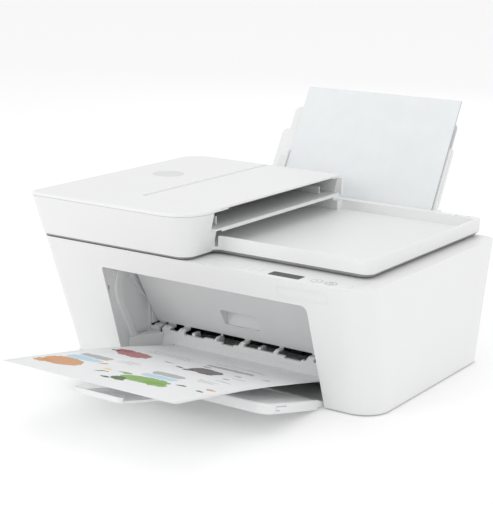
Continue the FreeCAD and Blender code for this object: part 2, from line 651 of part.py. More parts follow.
def carriage():
    x0, x1 = CARRIAGE_X
    block = box(x0, x1, 118.5, 168, 17, 82).cut(box(x0 - 1, x1 + 1, 150, 170, 16, CARRIAGE_HEEL_Z))
    for a, b in ((x0 + 2, 171), (173, x1 - 2)):
        block = block.cut(box(a, b, 120.5, 148, 19, 90)).cut(box(a, b, 120.5, 165.5, CARRIAGE_HEEL_Z + 2, 90))
        block = block.cut(box(a + 4, b - 4, 126, 147.5, 16, 20))
    lugs = [box(x, x + 4, 112, 121, 82, 88) for x in (x0, 170, x1 - 4)]
    sleeve = box(x0, x1, 168, 183.4, 29, 43)
    clip = fused(box(168, 178, 168, 170.6, 43, 60), box(168, 178, 168, 176.4, BELT_Z - 8.2, BELT_Z - 6.4),
                 box(168, 178, 168, 176.4, BELT_Z - 4.4, BELT_Z - 3))
    whole = fused(block, sleeve, clip, *lugs)
    whole = whole.cut(rod_x(x0 - 1, x1 + 1, ROD[0], ROD[1], ROD[2] + RUN_FIT))
    return whole.cut(rod_x(x0 - 1, x1 + 1, LATCH_AXIS[0], LATCH_AXIS[1], 1.2 + RUN_FIT))


LATCH_AXIS = (116.0, 85.0)


def latch(x0, x1):
    axle = rod_x(x0 - 1.9, x1 + 1.9, *LATCH_AXIS, 1.2)
    lever = prism_x([(112.5, 84, 0.8), (119, 82.6, 0.8), (150, 84.6, 1), (150, 87.4, 1), (113, 88, 1)],
                    x0 + GAP, x1 - GAP)
    return fused(axle, lever)


def cartridge(x0, x1):
    """A closed ink tank with its print head below and a thumb ledge in front."""
    tank = box(x0, x1, 121, 165, 30, 80)
    tank = tank.makeFillet(2, [e for e in tank.Edges if abs(e.tangentAt(e.FirstParameter).z) > 0.9])
    head = box(x0 + 4, x1 - 4, 127, 147, 17.2, 30.5)
    foot = box(x0 + 0.5, x1 - 0.5, 122, 147.5, 19.5, 30.5)
    return fused(tank, head, foot)


def encoder_strip():
    return box(-127, 199, 185.2, 185.5, 90, 98)


def motor_pulley():
    disc = rod_y(171, 176, MOTOR_PULLEY_X, BELT_Z, CARRIAGE_PULLEY_RADIUS)
    return fused(disc, rod_y(171, RAIL_Y + 3.5, MOTOR_PULLEY_X, BELT_Z, 1.6))


def idler_pulley():
    disc = rod_y(171, 176, IDLER_X, BELT_Z, CARRIAGE_PULLEY_RADIUS)
    return disc.cut(rod_y(170, 177, IDLER_X, BELT_Z, 1.5 + RUN_FIT))


def carriage_motor():
    can = rod_y(RAIL_Y + 1.6, 222, MOTOR_PULLEY_X, BELT_Z, 12)
    return can.cut(rod_y(RAIL_Y + 1, RAIL_Y + 4, MOTOR_PULLEY_X, BELT_Z, 2.4))


def carriage_belt():
    def make(points):
        return prism_y(points, 171.5, 175.5)

    def place(a, b, c, kind):
        if kind == "strip":
            return strip_between(a, b, c, make)
        return rod_y(171.5, 175.5, a, b, c)

    ends = ((MOTOR_PULLEY_X, BELT_Z, CARRIAGE_PULLEY_RADIUS), (IDLER_X, BELT_Z, CARRIAGE_PULLEY_RADIUS), None)
    return belt_loop(*ends, 0.8, 0.15, place)


def service_station():
    body = box(146, 199, 114, 170, PAN_TOP_Z, 13)
    return body.cut(box(149, 196, 118, 166, 8, 14))


def service_sled():
    return box(150, 195, 119, 165, 9, 14)


def cap_pads():
    return [box(152, 168, 124, 160, 14, 16), box(175, 191, 124, 160, 14, 16)]


# ---------------------------------------------------------------- paper supply
def slope_frame(shape):
    """From the loaded paper's frame (x, y behind its front face, z up along it) to its leaning place."""
    placed = shape.copy()
    placed.rotate(Vector(0, 0, 0), X_AXIS, -PAPER_LEAN)
    placed.translate(Vector(0, *PAPER_FOOT))
    return placed


STACK_TOP = 141.0
STACK_THICK = 2.3


def paper_stack():
    return slope_frame(box(PAPER_LEFT_X, PAPER_RIGHT_X, 0, STACK_THICK, STACK_TOP - PAPER_LENGTH, STACK_TOP))


TRAY_PIVOT = (4.3, -2.0)     # behind and along the paper's front face
INPUT_X = (-116.0, 127.0)
INPUT_TOP = 81.6
EXTENSION_X = (-108.0, 123.5)
EXTENSION_TOP = 114.7


def input_tray():
    x0, x1 = INPUT_X
    edge = PAPER_RIGHT_X + 3
    plate = prism_y([(x0, 0, 0), (x1, 0, 0), (x1, 8, 0), (edge, 14, 3), (edge, INPUT_TOP, 6), (x0, INPUT_TOP, 6)],
                    2.9, 5.5)
    bosses = [rod_x(a, b, *TRAY_PIVOT, 2.7) for a, b in ((x0, x0 + 14), (PAPER_RIGHT_X + 1.5, x1))]
    pins = [rod_x(x0 - 6, x0 + 1, *TRAY_PIVOT, 2), rod_x(x1 - 1, x1 + 6, *TRAY_PIVOT, 2)]
    rails = []
    for edge, side in ((EXTENSION_X[0] - GAP, -1), (EXTENSION_X[1] + GAP, 1)):
        outer = edge + side * 2.6
        lip = edge - side * 4
        rails.append(box(min(edge, outer), max(edge, outer), 5.4, 9.2, 6, INPUT_TOP - 2))
        rails.append(box(min(lip, outer), max(lip, outer), 8.0, 9.2, 6, INPUT_TOP - 2))
    slot = box(-112, -60, 2, 6, 20, 26)
    return slope_frame(fused(plate, *bosses, *pins, *rails).cut(slot))


def input_tray_extension():
    x0, x1 = EXTENSION_X
    low = 62
    panel = prism_y([(x0, low, 0), (x1, low, 0), (x1, EXTENSION_TOP, 9), (x0, EXTENSION_TOP, 9)], 5.8, 7.7)
    grip = prism_y([(0, EXTENSION_TOP - 12, 3), (30, EXTENSION_TOP - 12, 3), (30, EXTENSION_TOP - 6, 3),
                    (0, EXTENSION_TOP - 6, 3)], 5, 6.6)
    return slope_frame(panel.cut(grip))


def paper_width_guide():
    """Slides along the slot in the input tray and bears on the left edge of the paper."""
    fin = prism_x([(-3.2, 8, 2), (2.6, 8, 0), (2.6, 52, 0), (-3.2, 52, 3)], PAPER_LEFT_X - 3.2, PAPER_LEFT_X - 0.4)
    pad = box(PAPER_LEFT_X - 14, PAPER_LEFT_X - 0.4, 1.2, 2.6, 10, 44)
    tongue = box(PAPER_LEFT_X - 12, PAPER_LEFT_X - 4, 2, 5.4, 20.3, 25.7)
    return slope_frame(fused(fin, pad, tongue))


def tray_mount():
    """Two ears behind the base that hold the input tray's pins."""
    pivot_y = PAPER_FOOT[0] + TRAY_PIVOT[0] * math.cos(math.radians(PAPER_LEAN))
    pivot_y += TRAY_PIVOT[1] * math.sin(math.radians(PAPER_LEAN))
    pivot_z = PAPER_FOOT[1] - TRAY_PIVOT[0] * math.sin(math.radians(PAPER_LEAN))
    pivot_z += TRAY_PIVOT[1] * math.cos(math.radians(PAPER_LEAN))
    ears = []
    for x0, x1 in ((INPUT_X[0] - 5.6, INPUT_X[0] - 1), (INPUT_X[1] + 1, INPUT_X[1] + 5.6)):
        ear = prism_x([(base_rear_y(112), 112), (base_rear_y(112) + 4, 112), (326, 148, 6), (327.6, 169, 3),
                       (319.4, 169, 2), (318.8, 151, 2), (base_rear_y(146), 146)], x0, x1)
        ears.append(ear.cut(rod_x(x0 - 1, x1 + 1, pivot_y, pivot_z, 2 + RUN_FIT)))
    return ears


def paper_chute():
    """Back plate that leads the paper down into the base, and the ledge that the stack stands on."""
    back = box(-103, 133, 3.2, 5.0, -146, -18)
    cheeks = [box(-103, -100.5, -1.2, 3.3, -146, -30), box(130.5, 133, -1.2, 3.3, -146, -30)]
    ledge = box(-103, 133, -4, 3.3, -146, -143.5)
    return slope_frame(fused(back, *cheeks, ledge))


PICK_RADIUS = 12.0
PICK_AXIS = (257.9, 80.0)


def pick_roller():
    shaft = rod_x(-126, 60, *PICK_AXIS, 2.5)
    return fused(shaft, rod_x(-10, 8, *PICK_AXIS, PICK_RADIUS), rod_x(22, 40, *PICK_AXIS, PICK_RADIUS))


def pick_frame():
    """Crossbar with three cheeks that hold the pick roller's shaft."""
    cheeks = [box(x, x + 3, 242, 262, 72, 104) for x in (-126, -40, 56)]
    bar = box(-126, 59, 238, 243, 86, 104)
    posts = [box(-126, -120, 238, 243, PAN_TOP_Z, 90), box(53, 59, 238, 243, PAN_TOP_Z, 90)]
    return fused(*cheeks, bar, *posts).cut(rod_x(-130, 70, *PICK_AXIS, 2.5 + RUN_FIT))


# ---------------------------------------------------------------- electronics
def power_supply():
    case = box(-196, -142, 223, 288, 20, 66)
    return case.makeFillet(2, case.Edges)


def power_inlet():
    """Two-pin socket in the rear wall."""
    z0, z1 = INLET_Z
    x0, x1 = INLET_X
    rear = base_rear_y((z0 + z1) / 2)
    body = box(x0 + 0.1, x1 - 0.1, 290, rear, z0 + 0.1, z1 - 0.1)
    mouth = prism_y([(x0 + 3, z0 + 3, 4), (x1 - 3, z0 + 3, 4), (x1 - 3, z1 - 3, 4), (x0 + 3, z1 - 3, 4)], rear - 9, rear + 2)
    middle = (x0 + x1) / 2
    pins = [rod_y(rear - 9.5, rear - 1.5, middle + dx, (z0 + z1) / 2, 1.2) for dx in (-4.3, 4.3)]
    return fused(body.cut(mouth), *pins)


def data_port():
    z0, z1 = PORT_Z
    x0, x1 = PORT_X
    rear = base_rear_y((z0 + z1) / 2)
    body = box(x0 + 0.1, x1 - 0.1, 288, rear, z0 + 0.1, z1 - 0.1)
    mouth = box(x0 + 2.5, x1 - 2.5, rear - 8, rear + 2, z0 + 2, z1 - 2)
    return fused(body.cut(mouth), box(x0 + 4.5, x1 - 4.5, rear - 8.5, rear - 1.5, z0 + 4, z1 - 5))


def main_board():
    board = box(-197, -139, 72, 190, 64, 65.6)
    chips = [box(-188, -170, 96, 114, 65.6, 67.6), box(-162, -150, 130, 142, 65.6, 67.2),
             box(-190, -180, 150, 180, 65.6, 72), box(-160, -146, 80, 90, 65.6, 71)]
    posts = [rod_z(PAN_TOP_Z, 64, x, y, 3) for x, y in ((-172, 78), (-144, 78), (-192, 184), (-144, 184))]
    return fused(board, *chips, *posts)


# ---------------------------------------------------------------- scanner in the base
def scanner_tub():
    outer = box(-184, 172, 62, 290.5, 116, BASE_TOP_Z - WALL - 3)
    inner = box(-182, 170, 64, 288.5, 118, BASE_TOP_Z)
    tub = outer.cut(inner)
    rests = [box(x0, x1, 182, 190, 118, SCAN_ROD[1] + 1) for x0, x1 in ((-182, -178.6), (166, 170))]
    return fused(tub, *rests).cut(rod_x(-182, 170, *SCAN_ROD[:2], SCAN_ROD[2] + 0.02))


SCAN_ROD = (186.0, 122.6, 2.5)


def scan_rod():
    return rod_x(-182, 170, *SCAN_ROD)


def scanner_glass():
    return box(-154, 154, 66, 290, BASE_TOP_Z - WALL - 2.4, BASE_TOP_Z - WALL)


def strip_glass():
    return box(-177, -159, 66, 290, BASE_TOP_Z - WALL - 2.4, BASE_TOP_Z - WALL)


SCAN_TRAVEL = 300


def scan_head():
    """Image sensor bar on a carriage that runs along the scan rod."""
    bar = box(-176, -160, 70, 286, 131, 142)
    foot = box(-177, -157, 178, 194, 119, 131.5)
    return fused(bar, foot).cut(rod_x(-178, -156, *SCAN_ROD[:2], SCAN_ROD[2] + RUN_FIT))


# ---------------------------------------------------------------- lid
FEEDER_LOW = (-211.0, -2.5, -3.0)    # left, front and right of the feeder at the lid's bottom
FEEDER_HIGH = (-217.0, -15.7, FEEDER_RIGHT_X)
FEEDER_REAR_Y = 303.0


def feeder_outline(z, inset):
    """The feeder's sides lean out from the lid's bottom edge to the cover's seam."""
    share = (z - LID_BOTTOM_Z) / (FEEDER_SEAM_Z - LID_BOTTOM_Z)
    left, front, right = (low + (high - low) * share for low, high in zip(FEEDER_LOW, FEEDER_HIGH))
    front_right = 16 + (38 - 16) * share
    return outline_at(z, rect(left + inset, right - inset, front + inset, FEEDER_REAR_Y - inset,
                              13 - inset, front_right - inset, 10 - inset, 28 - inset))


def lid_slab_outline(z, inset):
    corners = [
        (-190, 12, 0),
        (-3 - inset, 12, 0),
        (-3 - inset, LID_FRONT_Y + inset, 12),
        (LID_RIGHT_X - inset, LID_FRONT_Y + inset, 11),
        (LID_RIGHT_X - inset, LID_REAR_Y - inset, 8),
        (-190, LID_REAR_Y - inset, 8),
    ]
    return outline_at(z, corners)


HINGE_X = ((-176, -160), (160, 176))
PIN_RADIUS = 1.8
UNDER_CHAMFER = 2.5
SLAB_CHAMFER = 4.0


def lid_body():
    step_z = LID_BOTTOM_Z + UNDER_CHAMFER
    feeder = loft(feeder_outline(LID_BOTTOM_Z, UNDER_CHAMFER), feeder_outline(step_z, 0))
    feeder = feeder.fuse(loft(feeder_outline(step_z, 0), feeder_outline(FEEDER_SEAM_Z - 0.15, 0)))
    slab_step = LID_BOTTOM_Z + SLAB_CHAMFER
    slab = loft(lid_slab_outline(LID_BOTTOM_Z, SLAB_CHAMFER), lid_slab_outline(slab_step, 0))
    slab = slab.fuse(loft(lid_slab_outline(slab_step, 0), lid_slab_outline(LID_RIM_Z, 0)))
    lid = feeder.fuse(slab)
    wall = 3
    basin = prism_z(rect(-12, LID_RIGHT_X - wall, LID_FRONT_Y + wall, LID_REAR_Y - 11.5, 0, 8, 5, 0),
                    LID_FLOOR_Z, 220)
    lid = lid.cut(basin.cut(box(-20, FEEDER_RIGHT_X + 1, 0, 400, 176.5, 230)).cut(
        box(-20, FEEDER_RIGHT_X + 1, 290, 400, 150, 230)))
    lid = lid.cut(box(-204, 3, 44, 294, LID_FLOOR_Z, 177)).cut(box(2.9, 12, 52, 294, LID_FLOOR_Z, 177))
    lid = lid.cut(box(2.9, 12, 33, 53, 175.1, 177))
    lid = lid.cut(box(-208, 12, 33, 294, 176.9, 230))
    lid = lid.cut(box(-200, -22, 2, 29, LID_FLOOR_Z, 230))
    lid = lid.cut(box(-153, 153, 66, 290.5, 149, 153))
    lid = lid.cut(box(-174, -162, 76, 280, 149, 158))
    lid = lid.cut(prism_x([(300, 149), (308.2, 149), (319.0, 168.7), (330, 168.7), (330, 140), (300, 140)],
                          -110, 140).common(box(-120, 150, 308, 330, 149, 170)))
    for x0, x1 in HINGE_X:
        lid = lid.cut(box(x0, x1, 306.5, 330, 149, 175))
        lid = lid.cut(rod_x(x0 - 7, x1 + 7, *LID_AXIS, PIN_RADIUS + 0.02))
    for y, z, _, radius in FEEDER_SHAFTS:
        lid = lid.cut(rod_y(38, 297, y, z, radius + RUN_FIT))
    lid = lid.cut(rod_y(28, 40, *FEEDER_SHAFTS[0][:2], FEEDER_SHAFTS[0][3] + RUN_FIT))
    bracket = box(-2, 10, 298.8, 303, 176, FEEDER_SEAM_Z - 0.15)
    return fused(lid, bracket)


def lid_hinge_posts():
    posts = []
    for x0, x1 in HINGE_X:
        post = prism_x([(308.6, BASE_TOP_Z), (314.0, BASE_TOP_Z), (316.3, 165.5, 0), (316.2, 169.1, 3),
                        (308.8, 169.1, 3)], x0 + 1, x1 - 1)
        posts.append(post.cut(rod_x(x0, x1, *LID_AXIS, PIN_RADIUS + RUN_FIT)))
    return posts


def lid_hinge_pins():
    return group([rod_x(x0 - 6, x1 + 6, *LID_AXIS, PIN_RADIUS) for x0, x1 in HINGE_X])


def backing_pad():
    return box(-152, 152, 67, 289.5, BASE_TOP_Z + 0.4, 152.9)


FLAP_X = (-98.0, 6.7)
FLAP_Y = (46.0, 298.0)
FLAP_LIFT_X = 3.6            # finger groove beside the flap
FLAP_FLOOR_Z = 198.4
EMBOSS = (-158.5, 171.0, 19.5)   # X, Y and radius of the plain round recess in the cover
EMBOSS_DEPTH = 0.3


def feeder_cover():
    z = FEEDER_SEAM_Z + 0.15
    low = feeder_outline(FEEDER_SEAM_Z, 0)
    low.translate(Vector(0, 0, 0.15))
    crown = feeder_outline(FEEDER_SEAM_Z, 0)
    crown.translate(Vector(0, 0, FEEDER_TOP_Z - 1.3 - FEEDER_SEAM_Z))
    top = feeder_outline(FEEDER_SEAM_Z, 1.3)
    top.translate(Vector(0, 0, FEEDER_TOP_Z - FEEDER_SEAM_Z))
    cover = loft(low, crown).fuse(loft(crown, top))
    cover = cover.cut(box(FLAP_X[0] - FLAP_LIFT_X, 12, FLAP_Y[0] - GAP, FLAP_Y[1] + GAP, FLAP_FLOOR_Z, 210))
    cover = cover.cut(box(FLAP_X[0] + 20, 12, 60, 284, z - 1, 210))
    x, y, radius = EMBOSS
    recess = rod_z(FEEDER_TOP_Z - EMBOSS_DEPTH, FEEDER_TOP_Z + 1, x, y, radius)
    return cover.cut(recess).removeSplitter()


def feeder_flap():
    flap = prism_z(rect(FLAP_X[0], FLAP_X[1], FLAP_Y[0], FLAP_Y[1], 2, 1, 1, 6), FLAP_FLOOR_Z + 0.15, FEEDER_TOP_Z)
    ribs = [box(-60, -4, y, y + 2, FLAP_FLOOR_Z - 0.6, FLAP_FLOOR_Z + 0.2) for y in range(90, 270, 40)]
    return fused(flap, *ribs)


def feeder_floor():
    """Shelf in the feeder's side slot that the originals lie on."""
    shelf = box(-118, 9.4, 33.4, 293.6, 177.1, 178.9)
    lip = box(8, 10, 44.4, 293.6, 175.4, 179.4)
    track = box(-48, -45, 44, 284, 177, 180)
    return fused(shelf, lip).cut(track)


GUIDE_MIDDLE_Y = 164.0


def feeder_guide(side):
    """side is -1 for the guide nearer the front, 1 for the rear one."""
    inner = GUIDE_MIDDLE_Y + side * 108
    y0, y1 = sorted((inner, inner + side * 2.2))
    fin = box(-80, -6, y0, y1, 179.2, 188)
    foot0, foot1 = sorted((inner, inner + side * 14))
    foot = box(-60, -20, foot0, foot1, 179.2, 180.8)
    key0, key1 = sorted((inner + side * 2, inner + side * 8))
    key = box(-47.7, -45.3, key0, key1, 177.4, 180)
    return fused(fin, foot, key)


# x, z, roller radius, shaft radius of the feeder's rollers; the first is the driven drum
FEEDER_SHAFTS = (
    (-172.0, 174.0, 11.0, 2.5),
    (-104.0, 187.6, 7.0, 2.0),
    (-70.0, 163.6, 5.0, 2.0),
)


def feeder_roller(index, spans):
    x, z, radius, shaft = FEEDER_SHAFTS[index]
    body = [rod_y(y0, y1, x, z, radius) for y0, y1 in spans]
    start = 30 if index == 0 else 40
    return fused(rod_y(start, 296, x, z, shaft), *body)


def feeder_motor():
    x, z = FEEDER_SHAFTS[0][:2]
    can = rod_y(4, 27, x, z, 12)
    return fused(can, box(x - 10, x + 10, 6, 24, LID_FLOOR_Z, z))


# ---------------------------------------------------------------- assembly
def all_parts():
    colour_x = (150.5, 170.5)
    black_x = (173.5, 193.5)
    return {
        "base_shell": base_shell(),
        "bottom_pan": bottom_pan(),
        "rubber_feet": rubber_feet(),
        "case_screws": case_screws(),
        "control_panel": control_panel(),
        "display_window": display_window(),
        "cancel_button": push_button(BUTTONS[0]),
        "power_button": push_button(BUTTONS[1]),
        "bay_liner": bay_liner(),
        "cartridge_door": cartridge_door(),
        "output_tray": output_tray(),
        "tray_extender": tray_extender(),
        "printed_sheet": printed_sheet(),
        "exit_guide": exit_guide(),
        "star_wheels": star_wheels(),
        "platen": platen(),
        "eject_roller": drive_roller(EJECT),
        "feed_roller": drive_roller(FEED),
        "pinch_rollers": pinch_rollers(),
        "roller_frames": group([pinch_holder(), pick_frame()]),
        "feed_motor_pulley": feed_motor_pulley(),
        "drive_belts": group([feed_belt(), carriage_belt()]),
        "drive_motors": group([feed_motor(), carriage_motor()]),
        "side_frames": group([side_frame(True), side_frame(False)]),
        "chassis_rail": chassis_rail(),
        "guide_rods": group([carriage_rod(), scan_rod()]),
        "carriage": carriage(),
        "colour_cartridge": cartridge(*colour_x),
        "black_cartridge": cartridge(*black_x),
        "colour_latch": latch(colour_x[0] + 1.5, colour_x[1] - 0.5),
        "black_latch": latch(black_x[0] + 0.5, black_x[1] - 1.5),
        "encoder_strip": encoder_strip(),
        "carriage_motor_pulley": motor_pulley(),
        "idler_pulley": idler_pulley(),
        "service_station": group([service_station(), service_sled(), *cap_pads()]),
        "paper_stack": paper_stack(),
        "input_tray": input_tray(),
        "input_tray_extension": input_tray_extension(),
        "paper_width_guide": paper_width_guide(),
        "paper_chute": paper_chute(),
        "pick_roller": pick_roller(),
        "power_supply": power_supply(),
        "rear_sockets": group([power_inlet(), data_port()]),
        "circuit_boards": group([main_board(), panel_board()]),
        "scanner_tub": scanner_tub(),
        "scanner_glass": group([scanner_glass(), strip_glass()]),
        "scan_head": scan_head(),
        "hinge_brackets": group([*lid_hinge_posts(), *tray_mount()]),
        "lid_hinge_pins": lid_hinge_pins(),
        "lid_body": lid_body(),
        "backing_pad": backing_pad(),
        "feeder_cover": feeder_cover(),
        "feeder_flap": feeder_flap(),
        "feeder_floor": feeder_floor(),
        "feeder_guide_front": feeder_guide(-1),
        "feeder_guide_rear": feeder_guide(1),
        "feeder_drum": feeder_roller(0, ((60, 270),)),
        "feeder_pick_roller": feeder_roller(1, ((150, 180),)),
        "feeder_exit_roller": feeder_roller(2, ((100, 120), (200, 220))),
        "feeder_motor": feeder_motor(),
    }


def main():
    os.makedirs("parts", exist_ok=True)
    parts = all_parts()
    whole = FreeCAD.BoundBox()
    for shape in parts.values():
        whole.add(shape.BoundBox)
    shift = Vector(-whole.Center.x, -whole.Center.y, 0)
    print("origin", shift, "size", whole.XLength, whole.YLength, whole.ZLength, "parts", len(parts))
    for name, shape in parts.items():
        moved = shape.copy()
        moved.translate(shift)
        if not moved.isValid():
            print("not valid:", name)
        moved.exportStep("parts/" + name + ".step")
    return shift


if __name__ == "__main__":
    main()
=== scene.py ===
# %% [markdown]
# # A home inkjet printer, copier and scanner
# The machine is a white box with a slot at the front where the finished page comes out, a scanner lid with a
# document feeder on top, and a stack of paper that leans out of the back.
# The hard parts come from the imported model, so this lesson loads them first, gives each one its real finish,
# and then adds what a mould or a lathe doesn't make: the printed page, marks and lenses.

import math

import bmesh
import bpy
from mathutils import Matrix, Vector


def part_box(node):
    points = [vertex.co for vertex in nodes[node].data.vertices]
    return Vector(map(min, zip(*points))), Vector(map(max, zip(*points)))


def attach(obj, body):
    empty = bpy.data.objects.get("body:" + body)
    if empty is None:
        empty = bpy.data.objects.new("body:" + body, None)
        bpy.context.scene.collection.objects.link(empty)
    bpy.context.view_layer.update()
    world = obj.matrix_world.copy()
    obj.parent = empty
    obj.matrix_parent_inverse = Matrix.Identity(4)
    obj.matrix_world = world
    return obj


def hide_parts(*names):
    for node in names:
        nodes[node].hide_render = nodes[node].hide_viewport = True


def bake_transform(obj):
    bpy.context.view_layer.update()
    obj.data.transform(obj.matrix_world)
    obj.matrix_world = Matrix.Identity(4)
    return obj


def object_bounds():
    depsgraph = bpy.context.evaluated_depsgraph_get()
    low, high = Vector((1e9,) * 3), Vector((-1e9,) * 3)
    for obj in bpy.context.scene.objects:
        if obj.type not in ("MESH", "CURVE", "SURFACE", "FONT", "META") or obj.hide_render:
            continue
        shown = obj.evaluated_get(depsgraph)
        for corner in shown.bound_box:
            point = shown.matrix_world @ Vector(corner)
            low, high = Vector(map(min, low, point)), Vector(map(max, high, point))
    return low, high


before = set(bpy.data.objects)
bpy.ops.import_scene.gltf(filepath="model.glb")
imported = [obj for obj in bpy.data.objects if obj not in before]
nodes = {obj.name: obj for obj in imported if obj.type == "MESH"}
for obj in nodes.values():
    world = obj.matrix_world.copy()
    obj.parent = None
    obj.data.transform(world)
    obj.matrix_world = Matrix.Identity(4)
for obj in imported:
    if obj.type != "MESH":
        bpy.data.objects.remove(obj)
cad_low, cad_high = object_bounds()
MM = 0.001
print("nodes", len(nodes), "size in mm", [round(v / MM) for v in cad_high - cad_low])

# %% [markdown]
# ## The camera
# A product picture is taken from some way off with a long lens, so that the box keeps its proportions. The
# camera stands to the right of the machine, a little above the lid, and leans by one degree.
# Three directions make its rotation: where it looks, what is to its right, and what is up.

# %% Camera
CAMERA_PLACE = Vector((0.85718, -1.27778, 0.51304))
YAW, PITCH, ROLL = math.radians(33.634), math.radians(13.680), math.radians(1.0577)
LENS_MM = 100.25
SENSOR_MM = 36.0

ahead = Vector((-math.sin(YAW) * math.cos(PITCH), math.cos(YAW) * math.cos(PITCH), -math.sin(PITCH)))
level_right = Vector((math.cos(YAW), math.sin(YAW), 0))
level_up = level_right.cross(ahead)
camera_right = level_right * math.cos(ROLL) + level_up * math.sin(ROLL)
camera_up = -level_right * math.sin(ROLL) + level_up * math.cos(ROLL)

camera_data = bpy.data.cameras.new("product_camera")
camera_data.lens = LENS_MM
camera_data.sensor_width = SENSOR_MM
camera = bpy.data.objects.new("product_camera", camera_data)
bpy.context.scene.collection.objects.link(camera)
turn = Matrix((camera_right, camera_up, -ahead)).transposed()
camera.matrix_world = Matrix.Translation(CAMERA_PLACE) @ turn.to_4x4()
bpy.context.scene.camera = camera
print("camera stands", round(CAMERA_PLACE.length, 2), "m away")

# %% [markdown]
# ## Light and floor
# White plastic needs soft light from all round, or its shaded sides turn dirty. A pale sky gives most of the
# light, and four large lamps shape the box: one above, one at the front, one at the right and one behind.
# The floor is a very wide pale disc, so that no horizon shows.

# %% Studio
SKY = (1.0, 1.0, 1.0, 1)
SKY_STRENGTH = 0.84
FLOOR_RADIUS = 40.0
FLOOR_COLOUR = (0.95, 0.95, 0.95, 1)
FLOOR_GLOW = 0.14

world = bpy.data.worlds.new("studio_sky")
world.use_nodes = True
world.node_tree.nodes["Background"].inputs["Color"].default_value = SKY
world.node_tree.nodes["Background"].inputs["Strength"].default_value = SKY_STRENGTH
bpy.context.scene.world = world
bpy.context.scene.view_settings.view_transform = "Standard"


def lamp(name, place, size, watts):
    """A square soft lamp that looks at the middle of the machine."""
    data = bpy.data.lights.new(name, "AREA")
    data.size = size
    data.energy = watts
    made = bpy.data.objects.new(name, data)
    made.location = place
    middle = (cad_low + cad_high) / 2
    made.rotation_mode = "QUATERNION"
    made.rotation_quaternion = (middle - made.location).to_track_quat("-Z", "Y")
    bpy.context.scene.collection.objects.link(made)
    return made


lamp("lamp_above", Vector((-0.3, 0.1, 1.9)), 1.4, 3)
lamp("lamp_front", Vector((-0.9, -2.0, 1.1)), 1.3, 8)
lamp("lamp_right", Vector((2.2, 0.2, 0.9)), 1.2, 2)
lamp("lamp_behind", Vector((-0.6, 2.2, 1.2)), 1.2, 2)

floor_mesh = bmesh.new()
bmesh.ops.create_circle(floor_mesh, cap_ends=True, segments=64, radius=FLOOR_RADIUS)
floor_data = bpy.data.meshes.new("floor")
floor_mesh.to_mesh(floor_data)
floor_mesh.free()
floor = bpy.data.objects.new("floor", floor_data)
bpy.context.scene.collection.objects.link(floor)
print("lamps", len(bpy.data.lights))

# %% [markdown]
# ## Small helpers for materials
# A material is a tree of nodes. Writing each node by hand is long, so one helper adds a node, sets it up and
# joins its inputs in one line, and another does sums.

# %% Node helpers


def add(tree, kind, settings=None, **inputs):
    """Adds a node. An input is a value, or another node's output, and its name has _ for a space."""
    made = tree.nodes.new(kind)
    for name, value in (settings or {}).items():
        setattr(made, name, value)
    for name, value in inputs.items():
        plug(tree, made.inputs[name.replace("_", " ")], value)
    return made


def plug(tree, socket, value):
    if isinstance(value, bpy.types.NodeSocket):
        tree.links.new(value, socket)
    else:
        socket.default_value = value


def object_place(tree):
    """Where each point lies, in the object's own metres."""
    return tree.nodes.new("ShaderNodeTexCoord").outputs["Object"]


def face_normal(tree):
    return tree.nodes.new("ShaderNodeNewGeometry").outputs["Normal"]


def sums(tree, operation, first, second=0.0):
    """One Math node: first and second are numbers or outputs."""
    made = tree.nodes.new("ShaderNodeMath")
    made.operation = operation
    plug(tree, made.inputs[0], first)
    plug(tree, made.inputs[1], second)
    return made.outputs[0]


def mix(tree, share, first, second):
    """Blends two colours by share."""
    made = add(tree, "ShaderNodeMix", {"data_type": "RGBA"})
    plug(tree, made.inputs["Factor"], share)
    plug(tree, made.inputs["A"], first)
    plug(tree, made.inputs["B"], second)
    return made.outputs["Result"]


def spread(tree, value, low, high):
    """Stretches a mask of 0 to 1 so that it runs from low to high."""
    return add(tree, "ShaderNodeMapRange", None, Value=value, To_Min=low, To_Max=high).outputs[0]


def new_group(name, inputs, outputs):
    """A shared effect with number inputs, and outputs that change over the surface."""
    tree = bpy.data.node_groups.new(name, "ShaderNodeTree")
    for label, value in inputs.items():
        made = tree.interface.new_socket(name=label, in_out="INPUT", socket_type="NodeSocketFloat")
        made.default_value = value
    for label in outputs:
        tree.interface.new_socket(name=label, in_out="OUTPUT", socket_type="NodeSocketFloat")
    return tree, tree.nodes.new("NodeGroupInput").outputs, tree.nodes.new("NodeGroupOutput").inputs


def use_group(tree, name, **inputs):
    return add(tree, "ShaderNodeGroup", {"node_tree": bpy.data.node_groups[name]}, **inputs).outputs


print("helpers ready")

# %% [markdown]
# ## Shared effect: mould grain
# A plastic case isn't smooth. Its steel mould is etched, which leaves a fine pebbled grain, and the plastic
# cools unevenly, which leaves broad patches that are a touch lighter or glossier.
# Two noises at very different scales give both. Every moulded part uses this group with its own grain size.

# %% Mould grain group
grain, grain_in, grain_out = new_group(
    "mould_grain", {"Grain Scale": 900.0, "Patch Scale": 9.0}, ("Height", "Tone", "Polish")
)
grain_place = object_place(grain)
fine = add(grain, "ShaderNodeTexNoise", None, Vector=grain_place, Scale=grain_in["Grain Scale"], Detail=3.0)
broad = add(grain, "ShaderNodeTexNoise", None, Vector=grain_place, Scale=grain_in["Patch Scale"], Detail=4.0)
grain.links.new(fine.outputs[0], grain_out["Height"])
grain.links.new(broad.outputs[0], grain_out["Tone"])
polish = sums(grain, "MULTIPLY", sums(grain, "ADD", fine.outputs[0], broad.outputs[0]), 0.5)
grain.links.new(polish, grain_out["Polish"])
print("group", grain.name)

# %% [markdown]
# ## Shared effect: settled dust
# Dust lies only where a face looks up. The up part of the normal makes that mask, and noise breaks it into
# soft patches, so that it never looks painted on.

